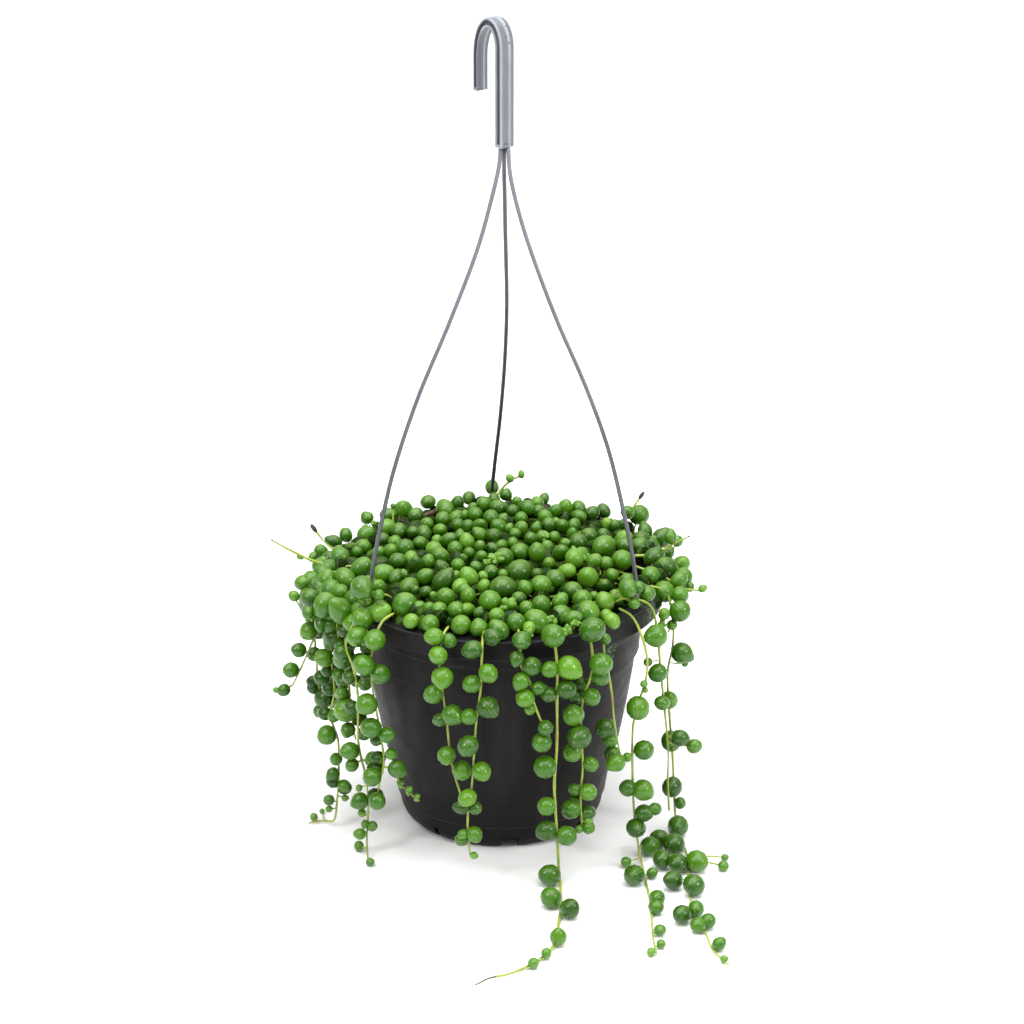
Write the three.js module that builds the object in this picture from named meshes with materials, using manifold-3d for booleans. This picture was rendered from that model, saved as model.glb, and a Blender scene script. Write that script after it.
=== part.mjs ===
// A string of pearls in its hanging pot, standing on a surface with its hanger upright.
// Millimetres, +Z up. The origin is the centre of the pot's underside; the front is -Y.
import * as THREE from "three";
import { mergeVertices } from "three/addons/utils/BufferGeometryUtils.js";
import Module from "manifold-3d";

const wasm = await Module();
wasm.setup();

// Driving dimensions
const gap = 0.3; // left between neighbouring pieces
const rimRadius = 75;
const rimTop = 117;
const skirtBottom = 107.5;
const ledgeInner = 66.4; // inner edge of the flat rim ledge
const ledgeThick = 1.8;
const footRadius = 42;
const potFloor = 7;
const padRadius = 26; // the middle of the floor dips to the surface
const padThick = 2.2;
const soilTop = 103;
const hangerTop = 323; // where the strands meet the hook
const hangerRadius = 0.95;
const hangerSeat = 71; // radius of the three holes in the rim ledge
const stemRadius = 0.8;
const pearlFacing = 1.06; // a faceted pearl stands this much over its size
const budSize = 6.5; // a smaller pearl is a bud
const pearlReach = 0.42; // from the stem to a pearl's middle, as a share of its size
const budReach = 0.26;
const rimRoom = 0.45; // of a pearl's size, from the rim to its middle
const crownTop = 131;
const crownRise = 8.5; // the crown stands this much higher at the back
const riseFrom = 22; // the depths y where that starts and is full
const riseTo = 60;
const crownPearls = 28;
const crownPearlSize = 13;
const stemSides = 3;
const stemStep = 9; // length of one straight stretch of a stem

const green = [0x5c9440, 0x6fa64c, 0x4f8438];
const material = {
  pot: new THREE.MeshStandardMaterial({ color: 0x2f2d30, roughness: 0.55, metalness: 0 }),
  soil: new THREE.MeshStandardMaterial({ color: 0x3a2a1e, roughness: 1, metalness: 0 }),
  hook: new THREE.MeshStandardMaterial({ color: 0xb4bcc6, roughness: 0.35, metalness: 0 }),
  hanger: new THREE.MeshStandardMaterial({ color: 0x8d97a6, roughness: 0.4, metalness: 0 }),
  crown: new THREE.MeshStandardMaterial({ color: green[0], roughness: 0.4, metalness: 0 }),
};

const plant = new THREE.Group();

// A closed geometry as a solid, its shared vertices merged and its faces turned outwards.
function solidOf(geometry) {
  const bare = geometry.index ? geometry.toNonIndexed() : geometry.clone();
  for (const name of Object.keys(bare.attributes)) {
    if (name !== "position") bare.deleteAttribute(name);
  }
  const merged = mergeVertices(bare, 1e-4);
  const triVerts = new Uint32Array(merged.index.array);
  const vertProperties = merged.attributes.position.array;
  const made = new wasm.Manifold(new wasm.Mesh({ numProp: 3, vertProperties, triVerts }));
  if (made.volume() > 0) return made;
  for (let i = 0; i < triVerts.length; i += 3) {
    [triVerts[i + 1], triVerts[i + 2]] = [triVerts[i + 2], triVerts[i + 1]];
  }
  return new wasm.Manifold(new wasm.Mesh({ numProp: 3, vertProperties, triVerts }));
}

function geometryOf(solid) {
  const mesh = solid.getMesh();
  const position = new Float32Array(mesh.numVert * 3);
  for (let i = 0; i < mesh.numVert; i++) {
    const at = i * mesh.numProp;
    position.set(mesh.vertProperties.subarray(at, at + 3), i * 3);
  }
  const geometry = new THREE.BufferGeometry();
  geometry.setAttribute("position", new THREE.BufferAttribute(position, 3));
  geometry.setIndex(new THREE.BufferAttribute(new Uint32Array(mesh.triVerts), 1));
  geometry.computeVertexNormals();
  return geometry;
}

const join = (solids) => solids.reduce((all, one) => all.add(one));
const cut = (solid, tools) => tools.reduce((left, tool) => left.subtract(tool), solid);

// A cut can leave crumbs: the piece is the largest body.
function largest(solid) {
  return solid.decompose().reduce((a, b) => (a.volume() > b.volume() ? a : b));
}

function place(name, solid, look) {
  const mesh = new THREE.Mesh(geometryOf(solid), look);
  mesh.name = name;
  plant.add(mesh);
}

function cylinder(radius, low, high, x = 0, y = 0, sides = 12) {
  const geometry = new THREE.CylinderGeometry(radius, radius, high - low, sides);
  geometry.rotateX(Math.PI / 2);
  geometry.translate(x, y, (low + high) / 2);
  return solidOf(geometry);
}

// A solid of revolution from a profile of [radius, height] that closes on the axis.
function turned(profile, segments) {
  const points = profile.map(([r, z]) => new THREE.Vector2(r, z));
  const geometry = new THREE.LatheGeometry(points, segments);
  geometry.rotateX(Math.PI / 2);
  return geometry;
}

function roundTube(points, radius, sides, steps) {
  const section = new THREE.Shape();
  for (let i = 0; i < sides; i++) {
    const turn = (i / sides) * 2 * Math.PI;
    const [x, y] = [radius * Math.cos(turn), radius * Math.sin(turn)];
    if (i) section.lineTo(x, y);
    else section.moveTo(x, y);
  }
  section.closePath();
  const extrudePath = new THREE.CatmullRomCurve3(points, false, "centripetal");
  return solidOf(new THREE.ExtrudeGeometry(section, { extrudePath, steps }));
}

const radians = (degrees) => (degrees * Math.PI) / 180;
const around = (radius, degrees, z) =>
  new THREE.Vector3(radius * Math.cos(radians(degrees)), radius * Math.sin(radians(degrees)), z);

const potSegments = 32;
const bodyOutside = [
  [44.3, 1], [46.3, 3], [47.6, 6], [48.5, 11.6], [49.3, 12.2], [50.4, 20], [55.6, 39.5], [59.2, 58],
  [62, 76], [62.8, 84.6], [64.6, 85.2], [65.3, 99.2], [66.2, 99.8], [67.4, 108],
];
const drainHoles = 6;
const drainRadius = 3.5;
const drainAt = 32;
const footNotches = 8;
const notchWidth = 8;
const notchNarrow = 2.4; // every second notch is only a slot
const notchHeight = 6.2;
const frontNotch = -85; // degrees, the notch nearest the front

function pot() {
  const inside = [[65.2, 100], [61.4, 82], [57.8, 60], [54.1, 39.5], [48.9, 20]];
  const profile = [
    [0, 0], [padRadius, 0], [padRadius + 1, potFloor - 2], [37, potFloor - 2], [38.2, 0], [footRadius, 0],
    ...bodyOutside,
    [67.6, rimTop - ledgeThick], [73.4, rimTop - ledgeThick],
    [73.2, skirtBottom], [74.7, skirtBottom], [rimRadius, rimTop - 1], [74.3, rimTop],
    [67.2, rimTop], [ledgeInner, rimTop - 0.8],
    ...inside, [45.4, potFloor], [padRadius + 2, potFloor], [padRadius, padThick], [0, padThick],
  ];
  const body = solidOf(turned(profile, potSegments));
  const tools = [];
  for (let i = 0; i < drainHoles; i++) {
    const at = around(drainAt, (i * 360) / drainHoles + 30, 0);
    tools.push(cylinder(drainRadius, -1, potFloor + 1, at.x, at.y));
  }
  for (let i = 0; i < footNotches; i++) {
    const notch = new THREE.BoxGeometry(12, i % 2 ? notchNarrow : notchWidth, notchHeight * 2);
    notch.translate(footRadius + 1, 0, 0);
    notch.rotateZ(radians(frontNotch + (i * 360) / footNotches));
    tools.push(solidOf(notch));
  }
  for (const strand of hangers) {
    const at = around(hangerSeat, strand.seat, 0);
    tools.push(cylinder(hangerRadius + 0.5, rimTop - 4, rimTop + 1, at.x, at.y, 10));
  }
  return cut(body, tools);
}

// The pot's outside with the usual gap all round, which the plant is cut clear of.
function potClearance() {
  const outside = [
    [0, soilTop + gap], [ledgeInner - 0.8 - gap, soilTop + gap], [ledgeInner - gap, rimTop + gap],
    [rimRadius + gap, rimTop + gap], [rimRadius + gap, skirtBottom - gap],
    [68, skirtBottom - gap], [65.6, 84], [62.6, 76], [56, 39.5], [footRadius + 5.2, 0], [0, -2],
  ];
  return solidOf(turned(outside.reverse(), potSegments));
}

// Each strand bows out from the hook and drops through its hole in the rim ledge.
const hangers = [
  {
    name: "hanger_strand_left", seat: 213, top: [0, -0.9],
    bow: [[-0.5, -1.1, 316], [-1.6, -1.5, 310], [-3.8, -3, 301], [-10, -7, 279], [-23, -15, 246],
      [-37, -24, 214], [-48, -31, 182], [-54, -35, 157], [-58, -37.6, 136]],
  },
  {
    name: "hanger_strand_right", seat: -29.5, top: [3.4, -0.9],
    bow: [[4, -1.4, 312], [5.5, -2.6, 304], [11.4, -6.4, 283], [24.6, -13.6, 248], [38.1, -21.6, 218],
      [48.1, -27.4, 191], [55.3, -31.6, 162], [60.3, -33.8, 136]],
  },
  {
    name: "hanger_strand_back", seat: 94, top: [1.6, 1.7],
    bow: [[1.5, 3, 311], [1.7, 7, 301], [2, 16, 279], [2.6, 30, 240], [1.5, 42, 207], [-0.6, 51, 178],
      [-3.2, 59, 152], [-4.9, 65, 132]],
  },
];
const hangerSides = 6;
const barbRadius = 2.1;

function hangerStrand(strand, grow = 0) {
  const foot = around(hangerSeat, strand.seat, rimTop - 6);
  const points = [
    new THREE.Vector3(...strand.top, hangerTop - gap),
    ...strand.bow.map((at) => new THREE.Vector3(...at)),
    around(hangerSeat, strand.seat, rimTop + 3),
    foot,
  ];
  const tube = roundTube(points, hangerRadius + grow, hangerSides, 22);
  const barb = new THREE.CylinderGeometry(0.7, barbRadius, 4.5, hangerSides);
  barb.rotateX(-Math.PI / 2);
  barb.translate(foot.x, foot.y, rimTop - ledgeThick - gap - 2.25);
  return tube.add(solidOf(barb));
}

// The hook is one bar of I-shaped section, bent over and narrowed towards its tip.
const hookPlace = [1.9, 0]; // the shank stands a little to the right of the pot's middle
const hookYaw = 130; // degrees, the way the hook opens
const hookTop = 380;
const hookTip = 345.6;
const hookDepth = 4.2; // of the shank's section, in the plane of the hook
const hookWidth = 8;
const nearBend = [7, 11]; // the bend rises over the shank: half its width, and its height
const farBend = [10, 17]; // and falls in a wider sweep
const bendSteps = 16;
const tipShare = 0.7; // the tip's section as a share of the shank's
const flange = 1;
const web = 1.8;
const chamfer = 0.6;
const footPlug = 3; // the ends of the bar are closed for this length
const tipPlug = 1.4;

// The middle line of the bar (out from the shank, up), and how far along it each stretch ends.
function hookLine() {
  const apex = hookTop - hookDepth / 2;
  const tip = nearBend[0] + farBend[0];
  const bend = ([wide, high], from, to) =>
    new THREE.EllipseCurve(nearBend[0], apex - high, wide, high, from, to, true);
  const line = new THREE.CurvePath();
  line.add(new THREE.LineCurve(new THREE.Vector2(0, hangerTop), new THREE.Vector2(0, apex - nearBend[1])));
  line.add(bend(nearBend, Math.PI, Math.PI / 2));
  line.add(bend(farBend, Math.PI / 2, 0));
  line.add(new THREE.LineCurve(new THREE.Vector2(tip, apex - farBend[1]), new THREE.Vector2(tip, hookTip)));
  const [shankEnd, apexAt, bendEnd, length] = line.getCurveLengths();
  return { line, shankEnd, apexAt, bendEnd, length };
}

// A section carried along the middle line through the given stops, in millimetres from the foot.
function alongHook(section, stops) {
  const { line, apexAt, bendEnd, length } = hookLine();
  const steps = stops.length - 1;
  const geometry = new THREE.ExtrudeGeometry(section, { depth: steps, steps, bevelEnabled: false });
  const at = geometry.getAttribute("position");
  for (let i = 0; i < at.count; i++) {
    const stop = stops[Math.round(at.getZ(i))];
    const middle = line.getPoint(stop / length);
    const way = line.getTangent(stop / length);
    const narrowed = THREE.MathUtils.clamp((stop - apexAt) / (bendEnd - apexAt), 0, 1);
    const share = THREE.MathUtils.lerp(1, tipShare, narrowed);
    const [out, side] = [at.getX(i) * share, at.getY(i) * share];
    at.setXYZ(i, middle.x + way.y * out, side, middle.y - way.x * out);
  }
  geometry.rotateZ(radians(hookYaw));
  geometry.translate(...hookPlace, 0);
  return solidOf(geometry);
}

function hook() {
  const [d, w, t] = [hookDepth / 2, hookWidth / 2, web / 2];
  const shape = (half) => {
    const corners = [...half, ...half.map(([out, side]) => [out, -side]).reverse()];
    return new THREE.Shape(corners.map((at) => new THREE.Vector2(...at)));
  };
  const solid = shape([[-d, w - chamfer], [-d + chamfer, w], [d - chamfer, w], [d, w - chamfer]]);
  const channelled = shape([
    [-d, w - chamfer], [-d + chamfer, w], [-d + flange, w], [-d + flange, t],
    [d - flange, t], [d - flange, w], [d - chamfer, w], [d, w - chamfer],
  ]);
  const { shankEnd, bendEnd, length } = hookLine();
  const stops = [0];
  for (let k = 0; k <= bendSteps; k++) stops.push(shankEnd + ((bendEnd - shankEnd) * k) / bendSteps);
  stops.push(length);
  const ends = [alongHook(solid, [0, footPlug]), alongHook(solid, [length - tipPlug, length])];
  return join([alongHook(channelled, stops), ...ends]);
}

// Each hangs straight below the rim at its own depth y: hang is [x, z] down the stem, floor is
// [x, y] along the surface it lies on. A pearl is [mm down the stem from the rim, mm to the
// right of it as seen from the front, diameter].
const strands = [
  {
    name: "strand_front_1", y: -77,
    hang: [[-27, 106], [-26, 95], [-24, 79], [-23, 66], [-21, 54], [-18, 43], [-16, 36]],
    pearls: [[0, 4, 6.6], [0, -3.6, 8], [9, -0.9, 8.4], [18, 1, 9.3], [28, -4.6, 8.4], [36, 3, 9],
      [41, -3, 6], [55, -1.4, 8.2], [64, 3.8, 8.2]],
  },
  {
    name: "strand_front_2", y: -82,
    hang: [[-8.5, 107], [-9, 96], [-11, 81], [-12, 65], [-13, 50], [-15, 33], [-14, 15]],
    pearls: [[-2, 4, 8], [6, -4.3, 8.4], [15, 3, 8.4], [20, -4.9, 8], [30, 4, 9.4], [38, -3.4, 7],
      [51, -2.9, 9.4], [61, 3.7, 8.5], [75, -1.4, 8.2], [80, -3.2, 6.6], [81, 3.3, 5.8],
      [93, 3, 7.2], [93, -2.1, 5], [99, -3, 6], [106, 1.8, 3.6]],
  },
  {
    name: "strand_front_3", y: -81,
    hang: [[9, 108], [13, 101], [14, 93], [17, 84], [22, 73]],
    pearls: [[3, 0.6, 8.4], [9, -1.4, 6.6], [15, 4.2, 8.4], [17, -3.2, 7.5], [25, 3, 6.2],
      [27, -3, 8], [34, -3.3, 5], [42, 0.8, 7.2], [48, -3.8, 8.5]],
  },
  {
    name: "strand_front_4", y: -80,
    hang: [[25, 108], [25, 92], [25, 68], [24, 50], [25, 30], [26, 12], [26.6, 3.6]],
    floor: [[27, -90], [27, -104], [25, -127], [23, -142], [14, -157], [2, -167], [-4, -169], [-11, -176]],
    pearls: [[1, 0, 10.6], [14, 6, 10.4], [15, -3.2, 7.2], [23, 4, 8.5], [27, -4, 7.2],
      [62, -4.6, 9.8], [82, -3.8, 8.1], [93, -4.9, 9], [99, 4.5, 8.6], [118, -4.6, 9.4],
      [129, -4.6, 9], [138, 5, 9], [163, 1.4, 7.5], [191, 1.4, 4.8], [200, 1.8, 4.8]],
  },
  {
    name: "strand_front_5", y: -72,
    hang: [[41, 107], [40, 98], [37, 90], [36, 80], [36, 68], [37, 56], [36, 40], [37, 22]],
    pearls: [[3, 2.2, 11.4], [13, 3.6, 9.8], [21, 4.6, 8], [29, 3.4, 7.6], [40, -3.6, 9.4],
      [51, -0.9, 10.6], [58, -4.5, 8.5], [65, 3.7, 6.8], [78, 3.3, 7.7], [79, -3, 5.6],
      [87, -4.6, 9], [94, 3, 4], [96, -1.5, 4], [97, 3.6, 5.8]],
  },
  {
    name: "strand_front_6", y: -64,
    hang: [[46, 108], [48, 98], [50, 86], [51, 74], [53, 62], [55, 52]],
    pearls: [[5, 0.5, 5], [48, -4.3, 8.6], [57, -3.7, 6.3], [63, -4.2, 6.8], [67, -2.4, 8.2], [65, 3, 4.2]],
  },
  {
    name: "strand_left_1", y: -14,
    hang: [[-82, 104], [-87, 92], [-92, 80], [-97, 69]],
    pearls: [[0, -4.4, 8.5], [8, -4, 6], [17, -1.4, 10], [17, 5, 8], [33, -4.3, 7], [44, -4, 7.4],
      [51, -3.2, 5.6], [53, -4.4, 3.4]],
  },
  {
    name: "strand_left_2", y: -25,
    hang: [[-78, 104], [-78, 84], [-77, 71], [-79, 57], [-76, 47], [-76, 28], [-77, 14], [-78.5, 4]],
    floor: [[-83, -19], [-91, -22]],
    pearls: [[5, -4.4, 10], [7, 4.8, 11], [20, 0.9, 10.6], [32, -4.4, 9.2], [32, 5.1, 10],
      [41, -4.6, 8.3], [41, 3.4, 7], [54, -4, 9.3], [57, 4.6, 8.8], [72, -4.6, 8.8], [71, 4, 7],
      [81, 4.9, 9.3], [89, 4, 6.5], [93, -3.2, 6.6], [98, 3, 6], [109, -2.4, 5.2],
      [113, 2, 4.2], [120, 1.6, 3.6], [128, -1.6, 4]],
  },
  {
    name: "strand_left_3", y: -52,
    hang: [[-70, 106], [-67, 96], [-65, 82], [-65, 69], [-65, 56], [-62, 40], [-61, 26], [-62, 8]],
    pearls: [[10, 6.4, 10], [22, 3.6, 9.1], [34, -2, 6], [41, 4.5, 10], [54, 5, 8.2], [71, 4.6, 7.8],
      [79, 3.7, 7.8], [91, -3.7, 7.3], [90, 4, 7.8], [97, -2.3, 3.8], [104, 2, 3.8],
      [107, -3.3, 5.5], [113, -3, 4.6]],
  },
  {
    name: "strand_left_4", y: -62,
    hang: [[-58, 105], [-58, 92], [-56, 77], [-54, 62], [-53, 53], [-55, 43], [-56, 37]],
    pearls: [[24, 3.7, 8.1], [56, 3.8, 7.2], [65, 3.6, 5.9], [70, 5, 8.2]],
  },
  {
    name: "strand_left_5", y: -38,
    hang: [[-71, 105], [-70, 94], [-69.5, 80], [-69, 66], [-67, 52]],
    pearls: [[15, 4.4, 8.7], [26, 4, 8], [34, -2.4, 5], [43, -3.3, 6.4], [47, 3.8, 8], [55, 3, 6.5],
      [60, -3.4, 7], [66, 2.6, 6]],
  },
  {
    name: "strand_left_6", y: -4,
    hang: [[-84, 105], [-87, 94], [-86.5, 80], [-86, 68], [-84, 55]],
    pearls: [[12, 3.4, 7.6], [18, -2.8, 5.6], [27, -3.6, 8.4], [28, 3.6, 8], [40, 0.6, 6.8], [51, 3.4, 7.2],
      [58, -3.2, 6.6], [66, 2.4, 5.6]],
  },
  {
    name: "strand_right_1", y: -56,
    hang: [[65, 106], [66, 97], [65, 88], [62, 79], [60, 68], [60, 44], [61, 24], [63, 8], [63.6, 3.6]],
    floor: [[65, -70], [67, -103], [67, -135], [68, -149]],
    pearls: [[23, 0.5, 5], [31, -0.5, 4], [44, 1.2, 10], [65, 5, 8.2], [84, -3.3, 6.9], [86, 5, 9.1],
      [97, 4, 7.8], [105, -3.6, 8.6], [114, 4.4, 8.3], [122, -4.6, 8.7], [129, 3.2, 5], [148, 4.2, 8.1],
      [157, 3.6, 7.2], [178, 3.4, 6.6], [190, 2.6, 4.4], [196, -2, 3.6]],
  },
  {
    name: "strand_right_2", y: -40,
    hang: [[71, 106], [73, 86], [75, 68], [77, 46], [77, 32], [78, 16]],
    pearls: [[11, 2.4, 9.1], [32, -2, 8.7], [47, -2.2, 4.2], [65, 3.6, 10.4], [90, 3, 9.2]],
  },
  {
    name: "strand_right_3", y: -22,
    hang: [[79, 104], [79, 92], [77, 80], [78, 60], [80, 36], [81, 18], [82, 4]],
    floor: [[84, -38], [86, -57], [85, -78], [85, -95], [86, -111], [90, -128], [93, -146], [99, -159]],
    pearls: [[5, 4.9, 8.7], [23, 4.9, 9.2], [48, 1.3, 8], [117, 4, 9.4], [129, -4.4, 7.9],
      [141, -4.4, 7.4], [144, 4.6, 9.2], [154, -4.2, 8.3], [168, -4.4, 7.7], [170, 4, 9.1],
      [193, -4, 7.6], [194, 3.6, 7.1], [206, 3.3, 6.2], [208, -3, 5.8], [228, 2.6, 5.7],
      [244, 0, 4]],
  },
];

// The strands round the back and sides follow one rule, each a little different from the next:
// [degrees round the pot, length].
const backStrandPlaces = [[53, 102], [71, 81], [89, 70], [108, 106], [126, 72]];
const sideStrandPlaces = [[5, 21], [23, 25], [39, 19], [142, 60], [157, 72], [172, 75]];
const backReach = 82; // radius at which they hang

function ruledStrand(name, angle, length, index) {
  const route = [around(70, angle, rimTop + 4), around(rimRadius + 3, angle, rimTop + 2.4)];
  for (let drop = 10; drop < length + 10; drop += 14) {
    const down = Math.min(drop, length);
    const [out, aside] = [1.5 * Math.sin(down * 0.11 + index), 2 * Math.sin(down * 0.06 + 2 * index)];
    route.push(around(backReach + out, angle + aside, rimTop - down));
  }
  const pearls = [];
  let down = 3;
  for (let k = 0; down < length - 2; k++) {
    const size = 8.2 + 1.4 * Math.sin(2.1 * k + index) - (3.2 * down) / (length + 20);
    pearls.push([down, (k % 2 ? -1 : 1) * size * 0.5, size]);
    down += size * (1.05 + 0.35 * Math.sin(1.7 * k + 0.6 * index));
  }
  return { name, route, pearls };
}

const ruledStrands = [
  ...backStrandPlaces.map(([angle, length], i) => ruledStrand(`strand_back_${i + 1}`, angle, length, i)),
  ...sideStrandPlaces.map(([angle, length], i) => ruledStrand(`strand_side_${i + 1}`, angle, length, i + 6)),
];

// From the crown over the rim, down, and on along the surface.
function routeOf(strand) {
  if (strand.route) return strand.route;
  const [x, z] = strand.hang[0];
  const angle = (Math.atan2(strand.y, x) * 180) / Math.PI;
  const over = [around(70, angle, rimTop + 4), around(rimRadius + 3, angle, rimTop + 2.4)];
  const down = strand.hang.map(([px, pz]) => new THREE.Vector3(px, strand.y, pz));
  const along = (strand.floor ?? []).map(([px, py]) => new THREE.Vector3(px, py, stemRadius + gap));
  return [...over, ...down, ...along];
}

function pearl(centre, size, grow) {
  const Facets = size < budSize ? THREE.OctahedronGeometry : THREE.IcosahedronGeometry;
  const geometry = new Facets((size / 2) * pearlFacing + grow, 0);
  geometry.translate(centre.x, centre.y, centre.z);
  return solidOf(geometry);
}

// Moves a pearl's middle out from the rim that it hangs beside.
function clearRim(middle, size) {
  const out = Math.hypot(middle.x, middle.y);
  const clear = rimRadius + size * rimRoom;
  const beside = middle.z > skirtBottom - size / 2 && middle.z < rimTop;
  if (beside && out < clear) middle.multiply(new THREE.Vector3(clear / out, clear / out, 1));
}

// Lifts a pearl to lie on the surface, still touching its stem.
function restOnSurface(away, lift, reach) {
  const level = Math.sqrt(Math.max(0, reach ** 2 - lift ** 2));
  away.z = 0;
  away.setLength(Math.min(away.length(), level));
  away.z = lift;
}

function trail(strand, grow = 0) {
  const route = routeOf(strand);
  const curve = new THREE.CatmullRomCurve3(route, false, "centripetal");
  curve.arcLengthDivisions = 400;
  const length = curve.getLength();
  const rimAt = route[0].distanceTo(route[1]);
  const steps = Math.max(5, Math.round(length / stemStep));
  const pieces = [roundTube(route, stemRadius + grow, stemSides, steps)];
  for (const [down, side, size] of strand.pearls) {
    const along = THREE.MathUtils.clamp((down + rimAt) / length, 0, 1);
    const at = curve.getPointAt(along);
    const way = curve.getTangentAt(along);
    const out = strand.hang ? new THREE.Vector3(0, -1, 0) : new THREE.Vector3(at.x, at.y, 0).normalize();
    out.multiplyScalar(Math.abs(way.z));
    out.z += 1 - Math.abs(way.z);
    const right = new THREE.Vector3().crossVectors(out, way).normalize();
    const outward = new THREE.Vector3().crossVectors(way, right).normalize();
    const reach = size * (size < budSize ? budReach : pearlReach);
    const near = Math.min(Math.abs(side), reach) * Math.sign(side);
    const forward = Math.sqrt(reach ** 2 - near ** 2);
    const away = new THREE.Vector3().addScaledVector(right, near).addScaledVector(outward, forward);
    if (at.z + away.z < size / 2) restOnSurface(away, size / 2 - at.z, reach);
    const middle = at.clone().add(away);
    clearRim(middle, size);
    pieces.push(pearl(middle, size, grow));
  }
  return join(pieces);
}

const sprouts = [
  {
    name: "sprout_left_long",
    route: [[-62, 4, 122], [-77, 2, 122], [-88, 0, 126], [-98, -4, 133], [-105, -6, 138]],
    leaves: [[-93, -1, 128, 3]],
  },
  {
    name: "sprout_left_bud",
    route: [[-70, 16, 121], [-80, 17, 125.5], [-84, 18, 129.5], [-86.8, 18, 133.5]],
    leaves: [[-86.8, 18, 134.5, 5]],
  },
  {
    name: "sprout_back",
    route: [[-6, 56, 128], [-1, 60, 137], [5, 61, 143], [10, 61, 145]],
    leaves: [[4, 61, 143.6, 4.2], [9.5, 61, 145.6, 3.6]],
  },
  {
    name: "sprout_right_bud",
    route: [[52, 44, 122], [60, 48, 130], [66, 50, 138]],
    leaves: [[67, 50, 139, 4.4], [60, 46, 132, 7]],
  },
  {
    name: "sprout_right_long",
    route: [[58, 2, 124], [66, -4, 123], [74, -8, 121.5], [84, -12, 117], [92, -13, 116]],
    leaves: [[92.8, -13, 117.2, 4], [82, -10, 120, 8]],
  },
  {
    name: "sprout_right_tip",
    route: [[62, 15, 122], [72, 15, 123], [81, 15, 128.5], [87, 14, 132]],
    leaves: [[79, 16.5, 131, 6.6], [86.5, 14, 132, 3]],
  },
];

function sprout({ route, leaves }, grow = 0) {
  const points = route.map((at) => new THREE.Vector3(...at));
  const pieces = [roundTube(points, stemRadius + grow, stemSides, 6)];
  for (const [x, y, z, size] of leaves) pieces.push(pearl(new THREE.Vector3(x, y, z), size, grow));
  return join(pieces);
}

function soil() {
  const profile = [
    [0, padThick + gap], [padRadius - gap, padThick + gap], [padRadius + 1.7, potFloor + gap],
    [45, potFloor + gap], [48.4, 20], [53.5, 39.5], [57.2, 60],
    [60.8, 82], [64.4, 99.5], [64.4, soilTop - 1], [60, soilTop], [0, soilTop],
  ];
  return solidOf(turned(profile, potSegments));
}

// How far the crown spreads at each angle: it spills over the rim at the sides and draws back
// at the front right, where the rim shows.
function spread(degrees) {
  const bump = (centre, width, height) => {
    const away = ((degrees - centre + 540) % 360) - 180;
    return height * Math.exp(-((away / width) ** 2));
  };
  return 1 + bump(184, 30, 0.17) + bump(8, 22, 0.1) - bump(-33, 15, 0.15) - bump(-146, 10, 0.05);
}

const crownHeight = (share) => crownTop - 12 * share ** 2.6;
const riseAt = (y) => crownRise * THREE.MathUtils.smoothstep(y, riseFrom, riseTo);

function crown() {
  const under = rimTop + gap + 0.1;
  const profile = [
    [0, soilTop + gap], [62.4, soilTop + gap], [65, under], [68, under], [76, under + 0.3],
    [78.5, under + 3],
  ];
  for (const share of [0.95, 0.8, 0.5]) profile.push([76 * share, crownHeight(share)]);
  profile.push([0, crownTop]);
  const mound = turned(profile, 24);
  const at = mound.getAttribute("position");
  for (let i = 0; i < at.count; i++) {
    const wider = spread((Math.atan2(at.getY(i), at.getX(i)) * 180) / Math.PI);
    const out = THREE.MathUtils.smoothstep(Math.hypot(at.getX(i), at.getY(i)), 64, 76);
    at.setX(i, at.getX(i) * (1 + (wider - 1) * out));
    at.setY(i, at.getY(i) * (1 + (wider - 1) * out));
    if (at.getZ(i) > under + 2) at.setZ(i, at.getZ(i) + riseAt(at.getY(i)));
  }
  const pieces = [solidOf(mound)];
  const goldenTurn = 137.508;
  for (let k = 0; k < crownPearls; k++) {
    const share = Math.sqrt((k + 0.5) / crownPearls);
    const angle = (k * goldenTurn) % 360;
    const centre = around(73 * share * spread(angle), angle, crownHeight(share) + 0.5);
    centre.z += riseAt(centre.y);
    pieces.push(pearl(centre, crownPearlSize + 1.4 * Math.sin(k * 2.3), 0));
  }
  return join(pieces);
}

place("pot", pot(), material.pot);
place("soil", soil(), material.soil);
place("hanger_hook", hook(), material.hook);

const keepClear = [potClearance()];
const surface = new THREE.BoxGeometry(600, 600, 20);
surface.translate(0, 0, -10 + 0.05);
keepClear.push(solidOf(surface));
for (const strand of hangers) {
  place(strand.name, hangerStrand(strand), material.hanger);
  keepClear.push(hangerStrand(strand, gap));
}

function leaf(name, solid, grown, index) {
  const color = green[index % green.length];
  const look = new THREE.MeshStandardMaterial({ color, roughness: 0.38, metalness: 0 });
  place(name, largest(cut(solid, keepClear)), look);
  keepClear.push(grown);
}

[...strands, ...ruledStrands].forEach((strand, i) => {
  leaf(strand.name, trail(strand), trail(strand, gap), i);
});
sprouts.forEach((one, i) => leaf(one.name, sprout(one), sprout(one, gap), i));
place("crown", largest(cut(crown(), keepClear)), material.crown);

export default plant;
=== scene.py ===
import math
import random

import bmesh
import bpy
from mathutils import Matrix, Vector, noise


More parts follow.
